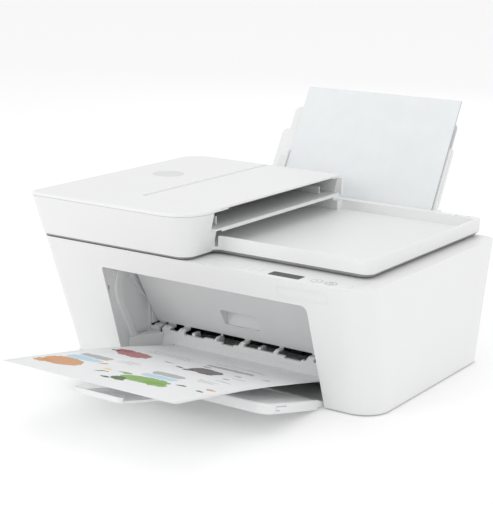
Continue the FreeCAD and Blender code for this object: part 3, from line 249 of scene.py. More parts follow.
# %% Dust group
dust, dust_in, dust_out = new_group("settled_dust", {"Amount": 0.1}, ("Mask",))
facing = add(dust, "ShaderNodeSeparateXYZ", None, Vector=face_normal(dust))
lying = sums(dust, "POWER", sums(dust, "MAXIMUM", facing.outputs["Z"], 0.0), 3.0)
dust_place = object_place(dust)
clumps = add(dust, "ShaderNodeTexNoise", None, Vector=dust_place, Scale=38.0, Detail=6.0, Roughness=0.7)
speckle = sums(dust, "MULTIPLY", lying, sums(dust, "POWER", clumps.outputs[0], 2.0))
dust.links.new(sums(dust, "MULTIPLY", speckle, dust_in["Amount"]), dust_out["Mask"])
print("group", dust.name)

# %% [markdown]
# ## Shared effect: painted shade on undersides
# Faces that look down are painted darker, as painted shade for the shadow they lie in. The mask is the down
# part of the normal. A chamfer under an edge counts in full, and a front that leans back only a little.

# %% Underside painted shade group
STEEP_GAIN = 5.0
below, below_in, below_out = new_group("underside_painted_shade", {"Start": 0.5, "Soft Share": 0.3}, ("Mask",))
hanging = add(below, "ShaderNodeSeparateXYZ", None, Vector=face_normal(below))
downward = sums(below, "MAXIMUM", sums(below, "MULTIPLY", hanging.outputs["Z"], -1.0), 0.0)
past_start = sums(below, "MAXIMUM", sums(below, "SUBTRACT", downward, below_in["Start"]), 0.0)
steep = sums(below, "MULTIPLY", past_start, STEEP_GAIN)
gentle = sums(below, "MULTIPLY", downward, below_in["Soft Share"])
below.links.new(sums(below, "MINIMUM", sums(below, "ADD", steep, gentle), 1.0), below_out["Mask"])
print("group", below.name)

# %% [markdown]
# ## Shared effect: painted highlight on edges
# Edges are painted lighter, a painted highlight where a rounded edge would catch the light. The Bevel node gives
# the normal that a rounded edge would have, and where it leaves the true normal there is an edge, so the
# difference is the mask.

# %% Edge highlight group
highlight, highlight_in, highlight_out = new_group("edge_painted_highlight", {"Width": 0.0008}, ("Mask",))
true_normal = face_normal(highlight)
soft_normal = add(highlight, "ShaderNodeBevel", {"samples": 3}, Radius=highlight_in["Width"])
agree = add(highlight, "ShaderNodeVectorMath", {"operation": "DOT_PRODUCT"})
highlight.links.new(true_normal, agree.inputs[0])
highlight.links.new(soft_normal.outputs["Normal"], agree.inputs[1])
edge_mask = sums(highlight, "MULTIPLY", sums(highlight, "SUBTRACT", 1.0, agree.outputs["Value"]), 4.0)
highlight.links.new(sums(highlight, "MINIMUM", edge_mask, 1.0), highlight_out["Mask"])
print("group", highlight.name)

# %% [markdown]
# ## Shared effect: brushed metal
# A ground shaft has fine rings round it, and a rolled sheet has long straight scratches. Both are noise that
# is squeezed in one direction, so this group takes a stretch for each axis.

# %% Brushed metal group
brush, brush_in, brush_out = new_group(
    "brushed_metal", {"Along X": 60.0, "Along Y": 900.0, "Along Z": 900.0}, ("Height", "Streak")
)
squeeze = add(
    brush, "ShaderNodeCombineXYZ", None, X=brush_in["Along X"], Y=brush_in["Along Y"], Z=brush_in["Along Z"]
)
stretched = add(brush, "ShaderNodeVectorMath", {"operation": "MULTIPLY"})
brush.links.new(object_place(brush), stretched.inputs[0])
brush.links.new(squeeze.outputs[0], stretched.inputs[1])
streaks = add(brush, "ShaderNodeTexNoise", None, Vector=stretched.outputs[0], Scale=1.0, Detail=2.0)
brush.links.new(streaks.outputs[0], brush_out["Height"])
brush.links.new(sums(brush, "POWER", streaks.outputs[0], 1.5), brush_out["Streak"])
print("group", brush.name)

# %% [markdown]
# ## Shared effect: paper fibre
# Office paper is a felt of short fibres. Close up it has a cloudy tone and a very fine tooth. Both page
# materials and the stack use this group.

# %% Paper fibre group
fibre, fibre_in, fibre_out = new_group("paper_fibre", {"Fibre Scale": 700.0}, ("Height", "Cloud"))
fibre_place = object_place(fibre)
tooth = add(
    fibre, "ShaderNodeTexNoise", None,
    Vector=fibre_place, Scale=fibre_in["Fibre Scale"], Detail=5.0, Distortion=1.5,
)
cloud = add(fibre, "ShaderNodeTexNoise", None, Vector=fibre_place, Scale=45.0, Detail=3.0)
fibre.links.new(tooth.outputs[0], fibre_out["Height"])
fibre.links.new(cloud.outputs[0], fibre_out["Cloud"])
print("group", fibre.name)

# %% [markdown]
# ## Moulded plastic
# Most of the machine is one recipe with other numbers: a colour that drifts a little between two tones, a
# roughness that follows the grain, pale dust on top, edges painted lighter as a painted highlight, painted shade
# on faces that look down where a finish asks for it, and a bump from the grain.
# The recipe is a function, and each finish is one call.

# %% Plastic recipe
finishes = {}


def new_material(name):
    made = bpy.data.materials.new(name)
    made.use_nodes = True
    tree = made.node_tree
    finishes[name] = made
    return tree, tree.nodes["Principled BSDF"].inputs


def shade(colour, factor):
    return (*[min(1.0, c * factor) for c in colour], 1)


def bump(tree, height, strength, depth):
    made = add(tree, "ShaderNodeBump", None, Strength=strength, Distance=depth, Height=height)
    return made.outputs["Normal"]


DUST_TONE = (0.62, 0.61, 0.59, 1)
EDGE_WIDTH = 0.0007
# How much lighter edges are painted: a painted highlight.
EDGE_HIGHLIGHT_GAIN = 1.12
ROUGH_SPREAD = 0.08


def plastic(
    name, colour, rough, grain_scale=900.0, depth=0.00006, drift=0.03, dusty=0.1, edge=0.3, coat=0.0, under=1.0
):
    tree, shader = new_material(name)
    look = use_group(tree, "mould_grain", Grain_Scale=grain_scale, Patch_Scale=9.0)
    tone = mix(tree, look["Tone"], shade(colour, 1 - drift), shade(colour, 1 + drift))
    # Painted highlight: edges are painted lighter, where a rounded edge would catch the light.
    edge_highlight_mask = sums(tree, "MULTIPLY", use_group(tree, "edge_painted_highlight", Width=EDGE_WIDTH)["Mask"], edge)
    tone = mix(tree, edge_highlight_mask, tone, shade(colour, EDGE_HIGHLIGHT_GAIN))
    powder = use_group(tree, "settled_dust", Amount=dusty)["Mask"]
    tone = mix(tree, powder, tone, DUST_TONE)
    # Painted shade: faces that look down are painted darker by the under factor, for the shadow they lie in.
    if under < 1.0:
        tone = mix(tree, use_group(tree, "underside_painted_shade")["Mask"], tone, shade(colour, under))
    plug(tree, shader["Base Color"], tone)
    plug(tree, shader["Roughness"], spread(tree, look["Polish"], rough - ROUGH_SPREAD, rough + ROUGH_SPREAD))
    plug(tree, shader["Normal"], bump(tree, look["Height"], 0.35, depth))
    shader["Coat Weight"].default_value = coat
    shader["Coat Roughness"].default_value = 0.12
    shader["IOR"].default_value = 1.5
    return tree, shader


# The white shell carries painted shade on its downward faces (under=0.42).
plastic("white_shell", (0.875, 0.878, 0.88), 0.42, dusty=0.03, drift=0.01, under=0.42)
plastic("panel_white", (0.86, 0.865, 0.868), 0.34, grain_scale=1300, dusty=0.02, drift=0.008)
plastic("bay_grey", (0.8, 0.805, 0.81), 0.5, grain_scale=800, dusty=0.04, drift=0.015)
plastic("tray_grey", (0.83, 0.835, 0.84), 0.46, grain_scale=800, dusty=0.05, drift=0.015)
plastic("grey_plastic", (0.36, 0.365, 0.37), 0.55, grain_scale=700, depth=0.0001)
plastic("dark_plastic", (0.028, 0.029, 0.031), 0.48, grain_scale=700, depth=0.0001, dusty=0.18)
plastic("cartridge_black", (0.014, 0.014, 0.016), 0.3, grain_scale=1500, dusty=0.12, coat=0.15)
plastic("display_black", (0.024, 0.023, 0.025), 0.4, grain_scale=1800, depth=0.00001, dusty=0.03, edge=0.1)
print("plastic finishes", sorted(finishes))

# %% [markdown]
# ## Rubber and foam
# Feet are plain matt rubber with a dull bloom. The rollers that grip paper have fine ribs along them; here
# they use the same recipe as the feet, with a finer grain.
# Foam is full of small cells, which a Voronoi texture draws well.

# %% Rubber and foam finishes


def rubber(name, colour, rough, cell_scale, depth):
    tree, shader = new_material(name)
    look = use_group(tree, "mould_grain", Grain_Scale=cell_scale, Patch_Scale=25.0)
    bloom = sums(tree, "MULTIPLY", look["Tone"], 0.5)
    powder = use_group(tree, "settled_dust", Amount=0.25)["Mask"]
    tone = mix(tree, bloom, shade(colour, 0.8), shade(colour, 1.7))
    plug(tree, shader["Base Color"], mix(tree, powder, tone, (0.3, 0.29, 0.28, 1)))
    plug(tree, shader["Roughness"], spread(tree, look["Polish"], rough - 0.1, rough + 0.1))
    plug(tree, shader["Normal"], bump(tree, look["Height"], 0.6, depth))
    shader["Specular IOR Level"].default_value = 0.3


rubber("feet_rubber", (0.05, 0.05, 0.052), 0.85, 500, 0.0002)
rubber("roller_rubber", (0.06, 0.058, 0.056), 0.8, 900, 0.00015)
rubber("belt_rubber", (0.03, 0.03, 0.03), 0.75, 1100, 0.0001)

tree, shader = new_material("pad_foam")
cells = add(tree, "ShaderNodeTexVoronoi", None, Vector=object_place(tree), Scale=1100.0)
look = use_group(tree, "mould_grain", Grain_Scale=500.0, Patch_Scale=12.0)
plug(tree, shader["Base Color"], mix(tree, look["Tone"], (0.82, 0.82, 0.8, 1), (0.9, 0.9, 0.885, 1)))
plug(tree, shader["Normal"], bump(tree, cells.outputs["Distance"], 0.5, 0.0002))
plug(tree, shader["Roughness"], spread(tree, cells.outputs["Distance"], 0.8, 0.95))
print("finishes", len(finishes))

# %% [markdown]
# ## Metal
# The chassis is zinc-plated sheet, whose crystals show as pale flakes. Guide rods are ground and bright, and
# motor cans are plain steel with rolling marks. The motor's small pulley is brass that has gone a little dull.

# %% Metal finishes


def metal(name, dark, light, rough_low, rough_high, stretch, depth):
    tree, shader = new_material(name)
    look = use_group(tree, "brushed_metal", Along_X=stretch[0], Along_Y=stretch[1], Along_Z=stretch[2])
    stain = use_group(tree, "mould_grain", Grain_Scale=300.0, Patch_Scale=30.0)["Tone"]
    tone = mix(tree, look["Streak"], (*dark, 1), (*light, 1))
    plug(tree, shader["Base Color"], mix(tree, sums(tree, "MULTIPLY", stain, 0.35), tone, (*dark, 1)))
    plug(tree, shader["Roughness"], spread(tree, look["Height"], rough_low, rough_high))
    plug(tree, shader["Normal"], bump(tree, look["Height"], 0.25, depth))
    shader["Metallic"].default_value = 1.0
    return tree, shader


metal("steel", (0.42, 0.42, 0.43), (0.66, 0.66, 0.67), 0.3, 0.5, (60, 900, 900), 0.00005)
metal("bright_rod", (0.7, 0.7, 0.71), (0.86, 0.86, 0.87), 0.08, 0.2, (1400, 40, 40), 0.00002)
metal("brass", (0.5, 0.36, 0.16), (0.75, 0.58, 0.3), 0.25, 0.45, (900, 90, 90), 0.00004)
tree, shader = metal("zinc_steel", (0.48, 0.49, 0.5), (0.7, 0.71, 0.72), 0.35, 0.5, (80, 400, 400), 0.00004)
flakes = add(tree, "ShaderNodeTexVoronoi", None, Vector=object_place(tree), Scale=220.0)
flake_tone = mix(tree, flakes.outputs["Color"], (0.5, 0.51, 0.52, 1), (0.72, 0.73, 0.75, 1))
tree.links.new(flake_tone, shader["Base Color"])
print("finishes", len(finishes))

# %% [markdown]
# ## Glass, film and circuit board
# The scanner's glass is clear with a green tint. The position strip is clear film with hundreds of fine black
# lines, which the carriage counts. The boards are green lacquer over copper tracks with tinned pads.

# %% Clear and board finishes
tree, shader = new_material("scan_glass")
look = use_group(tree, "mould_grain", Grain_Scale=40.0, Patch_Scale=14.0)
plug(tree, shader["Base Color"], mix(tree, look["Tone"], (0.9, 0.96, 0.93, 1), (0.95, 0.99, 0.97, 1)))
plug(tree, shader["Roughness"], spread(tree, look["Tone"], 0.01, 0.05))
shader["Transmission Weight"].default_value = 1.0
shader["IOR"].default_value = 1.5

FILM_LINES_PER_M = 700.0
tree, shader = new_material("clear_film")
film_place = add(tree, "ShaderNodeSeparateXYZ", None, Vector=object_place(tree))
tick = sums(tree, "FRACT", sums(tree, "MULTIPLY", film_place.outputs["X"], FILM_LINES_PER_M))
line = sums(tree, "GREATER_THAN", tick, 0.5)
plug(tree, shader["Base Color"], mix(tree, line, (0.55, 0.56, 0.55, 1), (0.04, 0.04, 0.04, 1)))
plug(tree, shader["Roughness"], spread(tree, line, 0.12, 0.3))
plug(tree, shader["Alpha"], spread(tree, line, 0.45, 1.0))

tree, shader = new_material("board_green")
board_place = object_place(tree)
tracks = add(tree, "ShaderNodeTexBrick", None, Vector=board_place, Scale=160.0, Mortar_Size=0.035)
pads = add(tree, "ShaderNodeTexVoronoi", None, Vector=board_place, Scale=260.0)
pad = sums(tree, "LESS_THAN", pads.outputs["Distance"], 0.16)
lacquer = mix(tree, tracks.outputs["Fac"], (0.012, 0.1, 0.045, 1), (0.03, 0.2, 0.09, 1))
plug(tree, shader["Base Color"], mix(tree, pad, lacquer, (0.6, 0.6, 0.58, 1)))
plug(tree, shader["Roughness"], spread(tree, pad, 0.35, 0.25))
plug(tree, shader["Metallic"], pad)
plug(tree, shader["Normal"], bump(tree, tracks.outputs["Fac"], 0.3, 0.0001))
print("finishes", len(finishes))

# %% [markdown]
# ## Plain paper
# The stack's faces are smooth, but its edges show every sheet as a fine dark line, and between the lines the
# side faces are painted darker too, as painted shade. Measured square to the leaning page, the lines are bands a
# fraction of a millimetre apart. On the face itself that distance never changes, so the bands show only where
# they should.

# %% Plain paper finish
PAPER_COLOUR = (0.86, 0.885, 0.895, 1)
PAPER_SHADE = (0.8, 0.825, 0.835, 1)
STACK_LEAN = math.radians(28.9)
SHEETS_PER_M = 2600.0

tree, shader = new_material("plain_paper")
look = use_group(tree, "paper_fibre", Fibre_Scale=700.0)
across = add(tree, "ShaderNodeVectorMath", {"operation": "DOT_PRODUCT"})
tree.links.new(object_place(tree), across.inputs[0])
across.inputs[1].default_value = (0, math.cos(STACK_LEAN), -math.sin(STACK_LEAN))
facing = add(tree, "ShaderNodeVectorMath", {"operation": "DOT_PRODUCT"})
tree.links.new(face_normal(tree), facing.inputs[0])
facing.inputs[1].default_value = (0, math.cos(STACK_LEAN), -math.sin(STACK_LEAN))
side_on = sums(tree, "LESS_THAN", sums(tree, "ABSOLUTE", facing.outputs["Value"]), 0.5)
band = sums(tree, "SINE", sums(tree, "MULTIPLY", across.outputs["Value"], SHEETS_PER_M * math.tau))
# Side faces get dark sheet lines, and even between them they are painted at least 0.35 of the way to the dark
# tone: painted shade.
edges = sums(tree, "MULTIPLY", side_on, spread(tree, band, 0.35, 0.95))
face = mix(tree, look["Cloud"], PAPER_SHADE, PAPER_COLOUR)
plug(tree, shader["Base Color"], mix(tree, edges, face, (0.34, 0.355, 0.365, 1)))
plug(tree, shader["Roughness"], spread(tree, look["Cloud"], 0.78, 0.92))
plug(tree, shader["Normal"], bump(tree, look["Height"], 0.3, 0.00004))
print("finishes", len(finishes))

# %% [markdown]
# ## Give every node its finish
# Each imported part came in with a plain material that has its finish's name, so one loop swaps them all.

# %% Assign finishes
for name, node in nodes.items():
    wanted = node.data.materials[0].name.split(".")[0]
    if wanted in finishes:
        node.data.materials[0] = finishes[wanted]
    else:
        print("no finish yet for", name, wanted)

tree, shader = new_material("pale_floor")
look = use_group(tree, "mould_grain", Grain_Scale=30.0, Patch_Scale=2.0)
plug(tree, shader["Base Color"], mix(tree, look["Tone"], shade(FLOOR_COLOUR[:3], 0.995), FLOOR_COLOUR))
shader["Roughness"].default_value = 0.9
shader["Specular IOR Level"].default_value = 0.1
shader["Emission Color"].default_value = (1, 1, 1, 1)
shader["Emission Strength"].default_value = FLOOR_GLOW
floor.data.materials.append(finishes["pale_floor"])
print("materials in the scene", len(finishes))

# %% [markdown]
# ## The printed page
# The page has just come out: its tail still sits under the rollers and its head droops over the tray. It is
# one Legal sheet, 216 by 356 mm, so its length is measured along the curve.
# A single row of points along the curve is pulled sideways to make the sheet, and a UV map measured across
# and along the paper, in page lengths, places the print on it.

# %% Printed page
PAGE_WIDTH = 216 * MM
PAGE_LENGTH = 356 * MM
PAGE_THICK = 0.35 * MM
PAGE_LIFT = 0.1 * MM
# How far behind the page's front edge each point is, and its height, in millimetres.
PAGE_CURVE = (
    (0, 69.5), (37, 63.7), (68, 58.4), (114, 50.8), (162, 41.5), (218, 29.5), (253.6, 21.5), (274, 16.2),
    (287, 13.3), (296, 12.55), (357, 12.55),
)
page_low, page_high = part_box("printed_sheet")


def curve_points(step):
    """Points along the page's curve, step apart, as (distance along it, y, z)."""
    found = [(0.0, *PAGE_CURVE[0])]
    for (y0, z0), (y1, z1) in zip(PAGE_CURVE, PAGE_CURVE[1:]):
        run = math.hypot(y1 - y0, z1 - z0)
        count = max(1, round(run / step))
        for n in range(1, count + 1):
            share = n / count
            found.append((found[-1][0] + run / count, y0 + (y1 - y0) * share, z0 + (z1 - z0) * share))
    kept = [p for p in found if p[0] < PAGE_LENGTH / MM]
    spare = PAGE_LENGTH / MM - kept[-1][0]
    return [*kept, (PAGE_LENGTH / MM, kept[-1][1] + spare, kept[-1][2])]


def smooth_run(values, rounds):
    """Eases the corners of a run of heights, with its ends held."""
    for _ in range(rounds):
        inner = [(a + 2 * b + c) / 4 for a, b, c in zip(values, values[1:], values[2:])]
        values = [values[0], *inner, values[-1]]
    return values


path = curve_points(4.0)
heights = smooth_run([p[2] for p in path], 6)
page_mesh = bmesh.new()
row = [
    page_mesh.verts.new((page_low.x, page_low.y + y * MM, z * MM + PAGE_LIFT))
    for (_, y, _), z in zip(path, heights)
]
row_edges = [page_mesh.edges.new(pair) for pair in zip(row, row[1:])]
PAGE_COLUMNS = 24
along = {round(v.co.y, 6): distance * MM for v, (distance, _, _) in zip(row, path)}
for _ in range(PAGE_COLUMNS):
    made = bmesh.ops.extrude_edge_only(page_mesh, edges=row_edges)["geom"]
    moved = [g for g in made if isinstance(g, bmesh.types.BMVert)]
    row_edges = [g for g in made if isinstance(g, bmesh.types.BMEdge) and all(v in moved for v in g.verts)]
    bmesh.ops.translate(page_mesh, verts=moved, vec=(PAGE_WIDTH / PAGE_COLUMNS, 0, 0))
bmesh.ops.recalc_face_normals(page_mesh, faces=page_mesh.faces)
if sum(f.normal.z for f in page_mesh.faces) < 0:
    bmesh.ops.reverse_faces(page_mesh, faces=page_mesh.faces)
page_uv = page_mesh.loops.layers.uv.new("page_mm")
for face in page_mesh.faces:
    face.smooth = True
    for loop in face.loops:
        loop[page_uv].uv = (
            (loop.vert.co.x - page_low.x) / PAGE_LENGTH,
            along[round(loop.vert.co.y, 6)] / PAGE_LENGTH,
        )
page_data = bpy.data.meshes.new("printed_page")
page_mesh.to_mesh(page_data)
page_mesh.free()
page = bpy.data.objects.new("printed_page", page_data)
bpy.context.scene.collection.objects.link(page)
thickness = page.modifiers.new("thickness", "SOLIDIFY")
thickness.thickness = PAGE_THICK
thickness.offset = 1.0
print("page points", len(page_data.vertices), "length in mm", round(path[-1][0], 1))

# %% [markdown]
# ## What is printed on it
# The print is a child's picture of simple rounded shapes: an orange one, a red one, a green one with a leaf,
# and a dark purple one, with blue and grey patches behind and small flecks around. Nothing on it is lettering.
# Each shape is the distance from a centre on the page's own millimetres, cut at one, with noise to ruffle it.

# %% Page print
# Centre across and along the page, width, height, turn in degrees, colour and how square it is.
ORANGE, RED, GREEN = (0.66, 0.33, 0.145, 1), (0.43, 0.145, 0.155, 1), (0.23, 0.42, 0.09, 1)
PURPLE, SKY_BLUE, PATCH_GREY = (0.138, 0.12, 0.13, 1), (0.48, 0.71, 0.83, 1), (0.45, 0.45, 0.45, 1)
LEAF, INK, FAINT = (0.06, 0.14, 0.03, 1), (0.05, 0.05, 0.06, 1), (0.6, 0.6, 0.6, 1)
YELLOW = (0.8, 0.62, 0.2, 1)
PRINT = (
    (33, 88, 42, 17, 3, SKY_BLUE, 4), (34, 108, 38, 17, 0, PATCH_GREY, 4), (133, 85, 40, 15, 3, SKY_BLUE, 4),
    (132, 103, 38, 15, 0, PATCH_GREY, 4), (30, 57, 48, 40, -28, ORANGE, 2), (17, 42, 20, 16, 20, ORANGE, 2),
    (38, 166, 46, 34, -22, RED, 2), (20, 176, 22, 20, 0, RED, 2), (14, 166, 12, 9, 10, INK, 2),
    (134, 60, 54, 30, 8, GREEN, 2), (152, 54, 26, 18, -12, GREEN, 2), (115, 42, 22, 15, -30, LEAF, 2),
    (104, 35, 9, 6, 0, INK, 2), (136, 164, 38, 30, -18, PURPLE, 3), (122, 152, 14, 10, 20, PURPLE, 2),
    (146, 149, 16, 5, 5, INK, 2), (61, 85, 9, 6, 20, ORANGE, 2), (81, 69, 10, 6, 0, YELLOW, 2),
    (102, 70, 15, 8, 10, GREEN, 2), (84, 54, 12, 4, 30, INK, 2), (108, 154, 12, 6, -20, INK, 2),
    (169, 73, 10, 7, 15, LEAF, 2), (196, 66, 9, 6, 0, LEAF, 2), (198, 83, 12, 8, 10, ORANGE, 2),
    (172, 148, 8, 4, 0, INK, 2), (168, 175, 10, 4, 5, INK, 2), (194, 192, 8, 5, 20, PATCH_GREY, 2),
    (85, 166, 14, 4, 0, INK, 2), (72, 109, 22, 3, 0, FAINT, 5), (72, 116, 26, 3, 0, FAINT, 5),
    (72, 123, 18, 3, 0, FAINT, 5), (173, 109, 22, 3, 0, FAINT, 5), (173, 116, 26, 3, 0, FAINT, 5),
    (60, 200, 60, 3, 0, FAINT, 6), (62, 208, 70, 3, 0, FAINT, 6), (58, 216, 56, 3, 0, FAINT, 6),
    (140, 204, 60, 12, 0, PATCH_GREY, 5), (142, 222, 70, 3, 0, FAINT, 6), (142, 230, 50, 3, 0, FAINT, 6),
    (120, 190, 12, 5, 0, PATCH_GREY, 3), (180, 160, 16, 4, 0, FAINT, 5), (180, 130, 20, 4, 0, FAINT, 5),
)

tree, shader = new_material("printed_paper")
look = use_group(tree, "paper_fibre", Fibre_Scale=700.0)
uv = add(tree, "ShaderNodeUVMap", {"uv_map": "page_mm"}).outputs[0]
ruffle = add(tree, "ShaderNodeTexNoise", None, Vector=uv, Scale=42.0, Detail=3.0)
shake = add(tree, "ShaderNodeVectorMath", {"operation": "MULTIPLY_ADD"})
tree.links.new(ruffle.outputs["Color"], shake.inputs[0])
shake.inputs[1].default_value = (0.03, 0.03, 0)
tree.links.new(uv, shake.inputs[2])
nudged = add(tree, "ShaderNodeVectorMath", {"operation": "SUBTRACT"})
tree.links.new(shake.outputs[0], nudged.inputs[0])
nudged.inputs[1].default_value = (0.015, 0.015, 0)
colour = mix(tree, look["Cloud"], (0.84, 0.85, 0.855, 1), (0.9, 0.905, 0.91, 1))
INK_FADE = 0.9
page_up = add(tree, "ShaderNodeSeparateXYZ", None, Vector=face_normal(tree))
printed_side = sums(tree, "MULTIPLY", sums(tree, "GREATER_THAN", page_up.outputs["Z"], 0.0), INK_FADE)
for across_mm, along_mm, wide, high, tilt, ink, squareness in PRINT:
    spot = add(tree, "ShaderNodeMapping", {"vector_type": "TEXTURE"}, Vector=nudged.outputs[0])
    spot.inputs["Location"].default_value = (across_mm * MM / PAGE_LENGTH, along_mm * MM / PAGE_LENGTH, 0)
    spot.inputs["Rotation"].default_value = (0, 0, math.radians(tilt))
    spot.inputs["Scale"].default_value = (wide * MM / 2 / PAGE_LENGTH, high * MM / 2 / PAGE_LENGTH, 1)
    parts = add(tree, "ShaderNodeSeparateXYZ", None, Vector=spot.outputs[0])
    reach = [
        sums(tree, "POWER", sums(tree, "ABSOLUTE", parts.outputs[axis]), float(squareness))
        for axis in ("X", "Y")
    ]
    inside = sums(tree, "LESS_THAN", sums(tree, "ADD", *reach), 1.0)
    colour = mix(tree, sums(tree, "MULTIPLY", inside, printed_side), colour, ink)
plug(tree, shader["Base Color"], colour)
plug(tree, shader["Roughness"], spread(tree, look["Cloud"], 0.7, 0.88))
plug(tree, shader["Normal"], bump(tree, look["Height"], 0.25, 0.00003))
page.data.materials.append(finishes["printed_paper"])
nodes["printed_sheet"].data.materials[0] = finishes["printed_paper"]

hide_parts("printed_sheet")
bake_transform(page)
print("shapes printed", len(PRINT))

# %% [markdown]
# ## Printed marks on the controls
# The panel has no raised keys beside its display. Fine marks are printed on the plastic instead, and each round
# button carries a ring. Every mark is a thin plate a tenth of a millimetre high, so a few bmesh shapes make
# them all: a ring is a disc with its middle inset and removed, and a bar is a disc with few sides, stretched.

# %% Mark helpers
MARK_RISE = 0.1 * MM
MARK_SINK = 0.02 * MM
mark_tones = {
    "mark_pale": (0.62, 0.63, 0.64),
    "mark_mid": (0.4, 0.41, 0.42),
    "mark_dark": (0.16, 0.165, 0.17),
}
for mark_name, mark_tone in mark_tones.items():
    tree, shader = new_material(mark_name)
    look = use_group(tree, "mould_grain", Grain_Scale=1600.0, Patch_Scale=60.0)
    plug(tree, shader["Base Color"], mix(tree, look["Tone"], shade(mark_tone, 0.9), shade(mark_tone, 1.1)))
    plug(tree, shader["Roughness"], spread(tree, look["Polish"], 0.4, 0.6))


def plate(mesh, sides, centre, wide, deep, rise, turn_by=0.0, hole=0.0):
    """Adds a flat plate to mesh: a disc or polygon, stretched, turned and raised, with a round hole if asked."""
    corner = 0.5 / math.cos(math.pi / sides) if sides == 4 else 0.5
    verts = bmesh.ops.create_circle(mesh, cap_ends=True, segments=sides, radius=corner)["verts"]
    faces = list({f for v in verts for f in v.link_faces})
    if hole:
        bmesh.ops.inset_region(
            mesh, faces=faces, thickness=0.5 - hole / 2, use_boundary=True, use_even_offset=True
        )
        bmesh.ops.delete(mesh, geom=faces, context="FACES_ONLY")
        faces = list({f for v in verts for f in v.link_faces})
        verts = list({v for f in faces for v in f.verts})
    if sides == 4:
        bmesh.ops.rotate(mesh, verts=verts, matrix=Matrix.Rotation(math.pi / 4, 3, "Z"))
    bmesh.ops.scale(mesh, verts=verts, vec=(wide, deep, 1))
    bmesh.ops.rotate(mesh, verts=verts, matrix=Matrix.Rotation(turn_by, 3, "Z"))
    bmesh.ops.translate(mesh, verts=verts, vec=centre)
    grown = bmesh.ops.extrude_face_region(mesh, geom=faces)["geom"]
    top = [g for g in grown if isinstance(g, bmesh.types.BMVert)]
    bmesh.ops.translate(mesh, verts=top, vec=(0, 0, rise))


def finish_piece(name, mesh, finish, body):
    bmesh.ops.recalc_face_normals(mesh, faces=mesh.faces)
    data = bpy.data.meshes.new(name)
    mesh.to_mesh(data)
    mesh.free()
    made = bpy.data.objects.new(name, data)
    bpy.context.scene.collection.objects.link(made)
    data.materials.append(finishes[finish])
    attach(made, body)
    return made


print("mark finishes", sorted(mark_tones))

# %% Button rings and symbols
ROUND_SIDES = 48
RING_SIZE = 11.4 * MM
RING_HOLE = 0.9
GLYPH_WIDE, GLYPH_THIN = 4.6 * MM, 0.55 * MM
for button, tone in (("cancel_button", "mark_mid"), ("power_button", "mark_dark")):
    button_low, button_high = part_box(button)
    middle = (button_low + button_high) / 2
    middle.z = button_high.z - MARK_SINK
    marks = bmesh.new()
    plate(marks, ROUND_SIDES, middle, RING_SIZE, RING_SIZE, MARK_RISE, hole=RING_HOLE)
    if button == "cancel_button":
        for lean in (math.pi / 4, -math.pi / 4):
            plate(marks, 4, middle, GLYPH_WIDE, GLYPH_THIN, MARK_RISE, turn_by=lean)
    else:
        plate(marks, ROUND_SIDES, middle, GLYPH_WIDE, GLYPH_WIDE, MARK_RISE, hole=0.78)
        plate(marks, 4, middle + Vector((0, 2 * MM, 0)), GLYPH_THIN, 2.6 * MM, MARK_RISE * 1.2)
    finish_piece(button + "_mark", marks, tone, button)
print("buttons marked", 2)

# %% [markdown]
# ## Touch marks and the display
# Left of the display are three touch places, each a ring over a short bar. Right of it are two arrows. The
# display is off, so its two digits are bars that are only a little lighter than the window.

# %% Touch marks beside the display
_, panel_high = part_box("control_panel")
TOUCH_PITCH, TOUCH_SIZE = 11 * MM, 4.2 * MM
ARROW_PITCH, ARROW_SIZE = 6 * MM, 3.4 * MM
window_low, window_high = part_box("display_window")
print_z = panel_high.z - MARK_SINK
touch = bmesh.new()
for step in range(3):
    spot = Vector((window_low.x - 12 * MM - TOUCH_PITCH * step, window_high.y - 4 * MM, print_z))
    plate(touch, ROUND_SIDES, spot, TOUCH_SIZE, TOUCH_SIZE, MARK_RISE, hole=0.86)
    plate(touch, 4, spot + Vector((0, -7 * MM, 0)), 5 * MM, 0.5 * MM, MARK_RISE)
for step, turn_by in enumerate((math.pi / 2, -math.pi / 2)):
    spot = Vector((panel_high.x - 8 * MM, window_low.y + 4 * MM + ARROW_PITCH * step, print_z))
    plate(touch, 3, spot, ARROW_SIZE, ARROW_SIZE, MARK_RISE, turn_by=turn_by)
finish_piece("touch_marks", touch, "mark_pale", "base")

# %% Display digits
display = bmesh.new()
SEGMENT_RISE = 0.06 * MM
window_middle = (window_low + window_high) / 2
DIGIT_WIDE, DIGIT_HIGH, SEGMENT = 4.2 * MM, 7.6 * MM, 0.8 * MM
for digit in range(2):
    spot = Vector((window_low.x + (9 + 7 * digit) * MM, window_middle.y, window_high.z - 0.04 * MM))
    for level in (-1, 0, 1):
        plate(display, 4, spot + Vector((0, level * DIGIT_HIGH / 2, 0)), DIGIT_WIDE, SEGMENT, SEGMENT_RISE)
    for side in (-1, 1):
        for half in (-1, 1):
            bar = spot + Vector((side * (DIGIT_WIDE / 2 + 0.2 * MM), half * DIGIT_HIGH / 4, 0))
            plate(display, 4, bar, SEGMENT, DIGIT_HIGH / 2 - 1.1 * MM, SEGMENT_RISE)
DISPLAY_TONE = (0.04, 0.042, 0.045)
tree, shader = new_material("display_segment")
look = use_group(tree, "mould_grain", Grain_Scale=1600.0, Patch_Scale=60.0)
plug(tree, shader["Base Color"], mix(tree, look["Tone"], shade(DISPLAY_TONE, 0.9), shade(DISPLAY_TONE, 1.15)))
plug(tree, shader["Roughness"], spread(tree, look["Polish"], 0.25, 0.4))
finish_piece("display_segments", display, "display_segment", "base")
print("marks on the panel", 3)

# %% [markdown]
# ## Lower corners of the bay
# The bay's side walls turn inwards as they near the exit, so that a finished page is led to the middle. Each
# turn is a wedge: a box whose front edge is pulled back into the wall. Above the left wedge a thin skin
# carries the wall on to the door.

